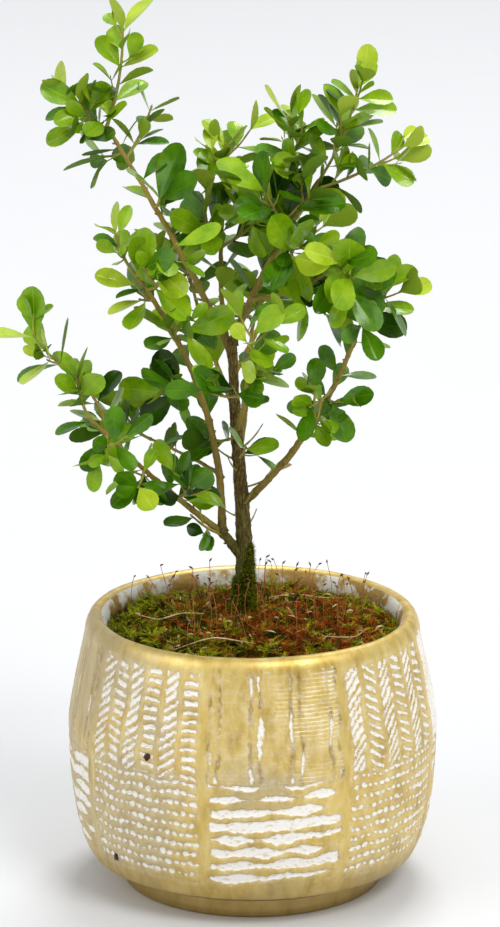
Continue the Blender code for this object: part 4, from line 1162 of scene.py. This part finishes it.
# a leaf from its stalk to its blunt tip: stations along it, half its width at each, lines across it
leafShape = dict(along=(0.0, 0.10, 0.24, 0.43, 0.63, 0.80, 0.92, 0.98, 1.0),
                 wide=(0.07, 0.11, 0.43, 0.82, 1.0, 0.92, 0.67, 0.35, 0.10),
                 across=(-1.0, -0.5, -0.035, 0.035, 0.5, 1.0), cup=(0.02, 0.32), curl=(-0.04, 0.18),
                 twist=0.24, groove=0.014, thickness=0.26, turn=16, breadth=(0.84, 1.12))


def leafTemplate():
    # a net of points over the top, and one line of points down the keel underneath
    stations, lines = len(leafShape["along"]), len(leafShape["across"])
    along = np.concatenate([np.repeat(leafShape["along"], lines), leafShape["along"]])
    wide = np.concatenate([np.repeat(leafShape["wide"], lines), leafShape["wide"]])
    side = np.concatenate([np.tile(leafShape["across"], stations), np.zeros(stations)])
    under = np.concatenate([np.zeros(stations * lines), np.ones(stations)])
    faces, slots = [], []
    for station in range(stations - 1):
        low, high = station * lines, (station + 1) * lines
        for line in range(lines - 1):
            faces.append((low + line, low + line + 1, high + line + 1, high + line))
            slots.append(2 if line == lines // 2 - 1 else 0)
        keel = stations * lines + station
        faces.append((low, high, keel + 1, keel))
        faces.append((low + lines - 1, keel, keel + 1, high + lines - 1))
        slots += [1, 1]
    tip = (stations - 1) * lines
    faces.append((*reversed(range(lines)), stations * lines))
    faces.append((*range(tip, tip + lines), stations * lines + stations - 1))
    slots += [1, 1]
    return along, side, wide, under, faces, slots


leafTemplateParts = leafTemplate()


def addLeaf(heap, root, heading, face, size, width, dice):
    along, side, wide, under, faces, slots = leafTemplateParts
    turn = math.radians(dice.gauss(0, leafShape["turn"]))
    face = face * math.cos(turn) + np.cross(heading, face) * math.sin(turn)
    across = np.cross(face, heading)
    half = width / 2 * dice.uniform(*leafShape["breadth"])
    cup, curl = dice.uniform(*leafShape["cup"]), dice.uniform(*leafShape["curl"])
    twist = dice.gauss(0, leafShape["twist"])
    rise = half * cup * wide * np.abs(side) ** 1.5 - curl * size * along ** 2 * (0.35 + 0.65 * along)
    rise = rise + half * wide * side * twist * along
    rise = rise - (np.abs(side) < 0.1) * leafShape["groove"] * size * wide
    rise = rise - under * leafShape["thickness"] * (0.45 + 0.55 * wide)
    points = (root + np.outer(along * size, heading) + np.outer(side * wide * half, across)
              + np.outer(rise, face))
    addShape(heap, list(points), faces, slots)


def facingLight(root, along, heading):
    # the way a leaf's upper side looks: up its shoot, and to the light and outwards
    outward = (root - shoot["crownMiddle"]) * (1, 1, 0) / shoot["crownRadius"]
    wanted = unit(along - heading * along.dot(heading)) + shoot["facing"] * (shoot["light"] + outward)
    return unit(wanted - heading * wanted.dot(heading))


def leafPlaces(line, leaf, pairs, seed):
    # opposite pairs down a shoot from its tip, each a quarter turn on from the last, then smaller
    # pairs in the wide gaps between them
    dice, more = random.Random(seed), random.Random(seed + 50000)
    length = lineLength(line)
    roll = dice.uniform(0, 180)
    step = (length - shoot["bareFoot"]) / max(pairs - 0.4, 1.0)
    order = [(pair, dice, 1.0) for pair in range(pairs)]
    if step > shoot["fillGap"]:
        order += [(pair + 0.5, more, shoot["fillLeaf"]) for pair in range(pairs)]
    places = []
    for pair, rng, scale in order:
        if pair * step > length - shoot["bareTop"]:
            continue
        share = max(1 - (pair * step + shoot["tipSink"]) / length, 0.05)
        root, along = pointAt(line, share), tangentAt(line, share)
        level = levelOf(along)
        cross = np.cross(along, level)
        for side in (0, 1):
            uneven = rng.uniform(-shoot["unevenTurn"], shoot["unevenTurn"])
            turn = math.radians(roll + 90 * pair + 180 * side + uneven)
            out = level * math.cos(turn) + cross * math.sin(turn)
            opening = math.radians(rng.uniform(*shoot["tipOpening" if pair == 0 else "sideOpening"]))
            heading = unit(along * math.cos(opening) + out * math.sin(opening))
            size = leaf * rng.uniform(*shoot["leafLength"]) * scale
            width = size * rng.uniform(*shoot["leafWidth"])
            face = facingLight(root, along, heading)
            tilt = math.radians(rng.uniform(-shoot["tilt"], shoot["tilt"]))
            face = face * math.cos(tilt) + np.cross(heading, face) * math.sin(tilt)
            places.append((root, heading, face, size, width, pair))
    return places


# the share of each limb above which it still carries its own leaves, and how light they are
leafyFrom = {"left_stem": (0.34, 1.3), "low_left_bough": (0.36, 1.2), "left_riser": (0.1, 1.6),
             "inner_left_bough": (0.4, 0.7), "right_leader": (0.30, 1.2), "left_leader": (0.42, 1.0),
             "centre_stem": (0.30, 1.1), "right_branch": (0.35, 1.2), "right_bough": (0.40, 1.3),
             "front_bough": (0.45, 1.3), "back_bough": (0.45, 1.1), "back_left_bough": (0.45, 1.1),
             "back_right_bough": (0.45, 1.1)}


# place on the trunk, heading, rise and length of the bare twigs
bareTwigs = ((0.40, -70, 35, 12), (0.46, -10, 28, 14), (0.52, -120, 40, 10), (0.35, -160, 30, 9),
             (0.60, 30, 38, 12), (0.30, 60, 30, 10), (0.56, 170, 32, 11))
bareTwigShape = dict(radii=(0.42, 0.2), bow=-0.08)
# limb, place on it, heading, rise and length of the dead leaves still hanging, and their width for it
dryLeaves = (("right_bough", 0.10, -30, 62, 9), ("right_bough", 0.16, 20, 20, 7),
             ("back_bough", 0.3, 100, -20, 8))
dryLeafWidth = 0.4


def boughLeafPlaces(line, radii, start, dice):
    # from a share of the bough upwards, each pair a quarter turn on from the last
    length = lineLength(line)
    roll = dice.uniform(0, 180)
    fars = np.arange(start * length, length - boughPairs["bareTop"], boughPairs["spacing"])
    places = []
    for pair, far in enumerate(fars):
        share = far / length
        centre, along = pointAt(line, share), tangentAt(line, share)
        radius = radii[0] + (radii[1] - radii[0]) * share
        level = levelOf(along)
        cross = np.cross(along, level)
        for side in (0, 1):
            if dice.random() < boughPairs["missing"]:
                continue
            uneven = dice.uniform(-boughPairs["unevenTurn"], boughPairs["unevenTurn"])
            turn = math.radians(roll + 90 * pair + 180 * side + uneven)
            out = level * math.cos(turn) + cross * math.sin(turn)
            opening = math.radians(dice.uniform(*boughPairs["opening"]))
            heading = unit(along * math.cos(opening) + out * math.sin(opening))
            size = boughPairs["leaf"] * dice.uniform(*boughPairs["leafLength"])
            width = size * dice.uniform(*shoot["leafWidth"])
            root = centre + out * radius * boughPairs["sunk"]
            places.append((root, heading, facingLight(root, along, heading), size, width))
    return places


def sideTwigs(stem, count, reach, seed):
    # the lines of twigs in a spiral up a stem
    dice = random.Random(seed)
    roll = dice.uniform(0, 360)
    twigs = []
    for number in range(count):
        share = shoot["twigFrom"] + (1 - shoot["twigFrom"]) * (number + dice.random()) / count
        uneven = dice.uniform(-shoot["unevenSpiral"], shoot["unevenSpiral"])
        turn = math.radians(roll + shoot["spiral"] * number + uneven)
        opening = math.radians(dice.uniform(*shoot["twigOpening"]))
        length = reach * dice.uniform(shoot["shortest"], 1.0)
        along = tangentAt(stem, share)
        level = levelOf(along)
        out = level * math.cos(turn) + np.cross(along, level) * math.sin(turn)
        leaving = unit(along * math.cos(opening) + out * math.sin(opening) + shoot["twigLift"])
        heading = math.degrees(math.atan2(leaving[1], leaving[0]))
        rise = math.degrees(math.asin(leaving[2]))
        lift = shoot["bow"] * length
        twigs.append(bowedLine(pointAt(stem, share), heading, rise, length, lift, count=3))
    return twigs


def softened(line, count=9):
    # the same line with more points and its corners rounded
    share = np.linspace(0, len(line) - 1, count)
    soft = np.stack([np.interp(share, range(len(line)), line[:, axis]) for axis in range(3)], axis=1)
    soft[1:-1] = (soft[:-2] + soft[1:-1] * 2 + soft[2:]) / 4
    return soft


def addTwig(heap, line, radii, slot=0):
    soft = softened(line)
    swollen = 1 + twigShape["joint"] * (np.arange(len(soft)) % 3 == 0)
    swollen[0] = twigShape["foot"]
    addLimb(heap, soft, np.linspace(*radii, len(soft)) * swollen, twigShape["sides"], slot)
    toward = unit(soft[-1] - soft[-2])
    bud = soft[-1] + toward * np.linspace(-0.2, twigShape["budLength"], len(twigShape["bud"]))[:, None]
    addLimb(heap, bud, np.array(twigShape["bud"]) * radii[1], twigShape["budSides"], slot)


def spaceOf(name):
    # the finer growth keeps inside the space of its mass
    low, high = (np.array(corner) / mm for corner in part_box(name))
    return low - fine["slack"], high + fine["slack"]


def withinReach(space, tip):
    return np.all(tip > space[0]) and np.all(tip < space[1])


def twigMaterial(name, low, high):
    # this year's and last year's wood: smooth green to straw bark, slightly waxy
    material, tree, shader, place = newMaterial(name)
    streak = addNode(tree, "TexNoise", {"Vector": place, "Scale": 0.6, "Detail": 3.0})
    tone = addNode(tree, "Mix", {"Factor": streak.outputs["Fac"], "A": linear(low), "B": linear(high)},
                   data_type="RGBA")
    relief = addNode(tree, "Bump", {"Height": streak.outputs["Fac"], "Strength": 0.4, "Distance": 0.1 * mm})
    tree.links.new(tone.outputs["Result"], shader.inputs["Base Color"])
    tree.links.new(relief.outputs["Normal"], shader.inputs["Normal"])
    shader.inputs["Roughness"].default_value = 0.6
    return material


def leafMaterial(name, low, high, roughness, coat):
    # a boxwood leaf: leathery, with a waxy skin that gives soft broad highlights; its colour drifts
    # a little over each leaf and from leaf to leaf
    material, tree, shader, place = newMaterial(name)
    drift = addNode(tree, "TexNoise", {"Vector": place, "Scale": 0.11, "Detail": 4.0, "Roughness": 0.65})
    spread = addNode(tree, "MapRange", {"Value": drift.outputs["Fac"], "From Min": 0.32, "From Max": 0.68})
    tone = addNode(tree, "Mix", {"Factor": spread.outputs["Result"], "A": linear(low), "B": linear(high)},
                   data_type="RGBA")
    pores = addNode(tree, "TexNoise", {"Vector": place, "Scale": 0.55, "Detail": 4.0, "Roughness": 0.6})
    relief = addNode(tree, "Bump", {"Height": pores.outputs["Fac"], "Strength": 0.55, "Distance": 0.4 * mm})
    tree.links.new(tone.outputs["Result"], shader.inputs["Base Color"])
    tree.links.new(relief.outputs["Normal"], shader.inputs["Normal"])
    shader.inputs["Roughness"].default_value = roughness
    shader.inputs["Specular IOR Level"].default_value = 0.3
    shader.inputs["Specular Tint"].default_value = linear("#cfe85a")
    shader.inputs["Coat Weight"].default_value = coat
    shader.inputs["Coat Roughness"].default_value = 0.12
    return material


# each tone of leaf with its colours above, below and along the rib, and the finish of those three
leafTones = (dict(name="Dark", low="#102a02", high="#224e03", under="#3f6212", rib="#2c5a0a"),
             dict(name="Mid", low="#2a5a02", high="#538908", under="#62841e", rib="#588a14"),
             dict(name="Light", low="#5c8e05", high="#94b618", under="#86a22c", rib="#90b026"),
             dict(name="Fresh", low="#90b014", high="#bace38", under="#a8bc40", rib="#bece50"))
leafFinish = dict(roughness=0.34, wax=0.52, underRoughness=0.65, ribRoughness=0.5)

# the boughs whose lines were picked clear of leaves on the best side of the tree, and from where
pickedBoughs = dict(trunk=0.1, left_stem=0.0, left_leader=0.2, right_bough=0.0, low_left_bough=0.1,
                    right_leader=0.1)
picking = dict(front=(0.0, -0.965, 0.262), room=1.0, chance=0.74, leafMiddle=0.6, leafHalf=0.35)


def overBough(lines, middle, half):
    # whether a leaf hangs over the front of one of those boughs
    front = np.array(picking["front"])
    for name, start in pickedBoughs.items():
        points = np.array([pointAt(lines[name], share) for share in np.linspace(start, 1.0, 30)])
        away = middle - points
        ahead = away @ front
        aside = np.linalg.norm(away - np.outer(ahead, front), axis=1)
        if np.any((ahead > 1.0) & (aside < half + picking["room"])):
            return True
    return False


def putLeaf(heaps, lines, place, tone, dice):
    # most leaves that would hide a picked bough are left off; the tone picks the heap
    root, heading, face, size, width = place
    middle, half = root + heading * size * picking["leafMiddle"], width * picking["leafHalf"]
    if overBough(lines, middle, half) and dice.random() < picking["chance"]:
        return
    heap = heaps[min(max(round(tone), 0), len(heaps) - 1)]
    addLeaf(heap, root, heading, face, size, width, dice)


def growMass(name, mass, lines, twigHeap, leafHeaps, dice):
    space, start = spaceOf(name), pointAt(lines[mass.on], mass.at)

    def dress(line, leaf, pairs, seed, light, checked=False):
        for root, heading, face, size, width, pair in leafPlaces(line, leaf, pairs, seed):
            if (checked or pair % 1) and not withinReach(space, root + heading * size):
                continue
            # the pair at the tip is the freshest, and those below it are older
            lighter = shoot["tipLight"] if pair == 0 else shoot["downLight"] * min(pair, 2)
            tone = light + lighter + dice.gauss(0, shoot["unevenLight"])
            putLeaf(leafHeaps, lines, (root, heading, face, size, width), tone, dice)

    stem = bowedLine(start, mass.heading, mass.rise, mass.length, shoot["bow"] * mass.length, count=6)
    addTwig(twigHeap, stem, shoot["stemRadii"])
    dress(shortened(stem, shoot["stemCut"], 4), mass.leaf, mass.pairs, mass.seed, mass.light)
    for number, twig in enumerate(sideTwigs(stem, mass.twigs, mass.reach, 1000 + mass.seed)):
        pairs = max(1, round(lineLength(twig) / shoot["pairSpacing"]))
        addTwig(twigHeap, twig, shoot["twigRadii"])
        dress(twig, mass.leaf * shoot["twigLeaf"], pairs, mass.seed * 7 + number + 1, mass.light)
    count = round(mass.length / fine["spacing"])
    for number, twig in enumerate(sideTwigs(stem, count, fine["reach"], 3000 + mass.seed)):
        if not withinReach(space, twig[-1] + unit(twig[-1] - twig[0]) * fine["tipRoom"]):
            continue
        addTwig(twigHeap, twig, fine["radii"], 1)
        leaf = min(mass.leaf, fine["largestLeaf"]) * fine["leaf"]
        dress(twig, leaf, 1, mass.seed * 13 + number, mass.light - fine["darker"], checked=True)


def growCrown(lines):
    twigHeap, leafHeaps, dryHeap = newHeap(), [newHeap() for _ in leafTones], newHeap()
    dice = random.Random(77)
    for name, mass in masses.items():
        growMass(name, mass, lines, twigHeap, leafHeaps, dice)
    for number, (name, (start, light)) in enumerate(leafyFrom.items()):
        for place in boughLeafPlaces(lines[name], limbs[name]["radii"], start, random.Random(900 + number)):
            tone = light + dice.gauss(0, boughPairs["unevenLight"])
            putLeaf(leafHeaps, lines, place, tone, dice)
    for at, heading, rise, length in bareTwigs:
        lift = bareTwigShape["bow"] * length
        line = bowedLine(pointAt(lines["trunk"], at), heading, rise, length, lift, count=5)
        addTwig(twigHeap, line, bareTwigShape["radii"])
    for limb, at, heading, rise, size in dryLeaves:
        along = headings(math.radians(heading), math.radians(rise))
        face = unit(np.cross(along, [0.2, 1.0, 0.1]))
        addLeaf(dryHeap, pointAt(lines[limb], at), along, face, size, size * dryLeafWidth, dice)

    piece = heapPiece("dryLeaves", dryHeap, [dryMaterial("dryLeaf", "#b08a4c", "#e0c898")] * 3)
    hand(piece, list(masses))
    piece = heapPiece("twigs", twigHeap, [twigMaterial("lastYearsTwig", "#7c7020", "#b0a650"),
                                          twigMaterial("youngTwig", "#7d8c18", "#adb63c")])
    hand(piece, list(masses))
    for heap, tone in zip(leafHeaps, leafTones):
        name, under, rib = tone["name"], tone["under"], tone["rib"]
        finishes = [leafMaterial("waxyLeaf" + name, tone["low"], tone["high"], leafFinish["roughness"],
                                 leafFinish["wax"]),
                    leafMaterial("leafUnderside" + name, under, under, leafFinish["underRoughness"], 0.0),
                    leafMaterial("leafRib" + name, rib, rib, leafFinish["ribRoughness"], 0.0)]
        piece = heapPiece("leaves" + name, heap, finishes)
        hand(piece, list(masses))
        print("leaves", name, len(heap["points"]) // len(leafTemplateParts[0]))


limbLine, wholeLine = limbLines()
makeMossBed()
growMoss(trunkLine(60))
growStalks()
layStraw()
print("moss grown")
makeWood(wholeLine)
growCrown(limbLine)
print("crown grown")
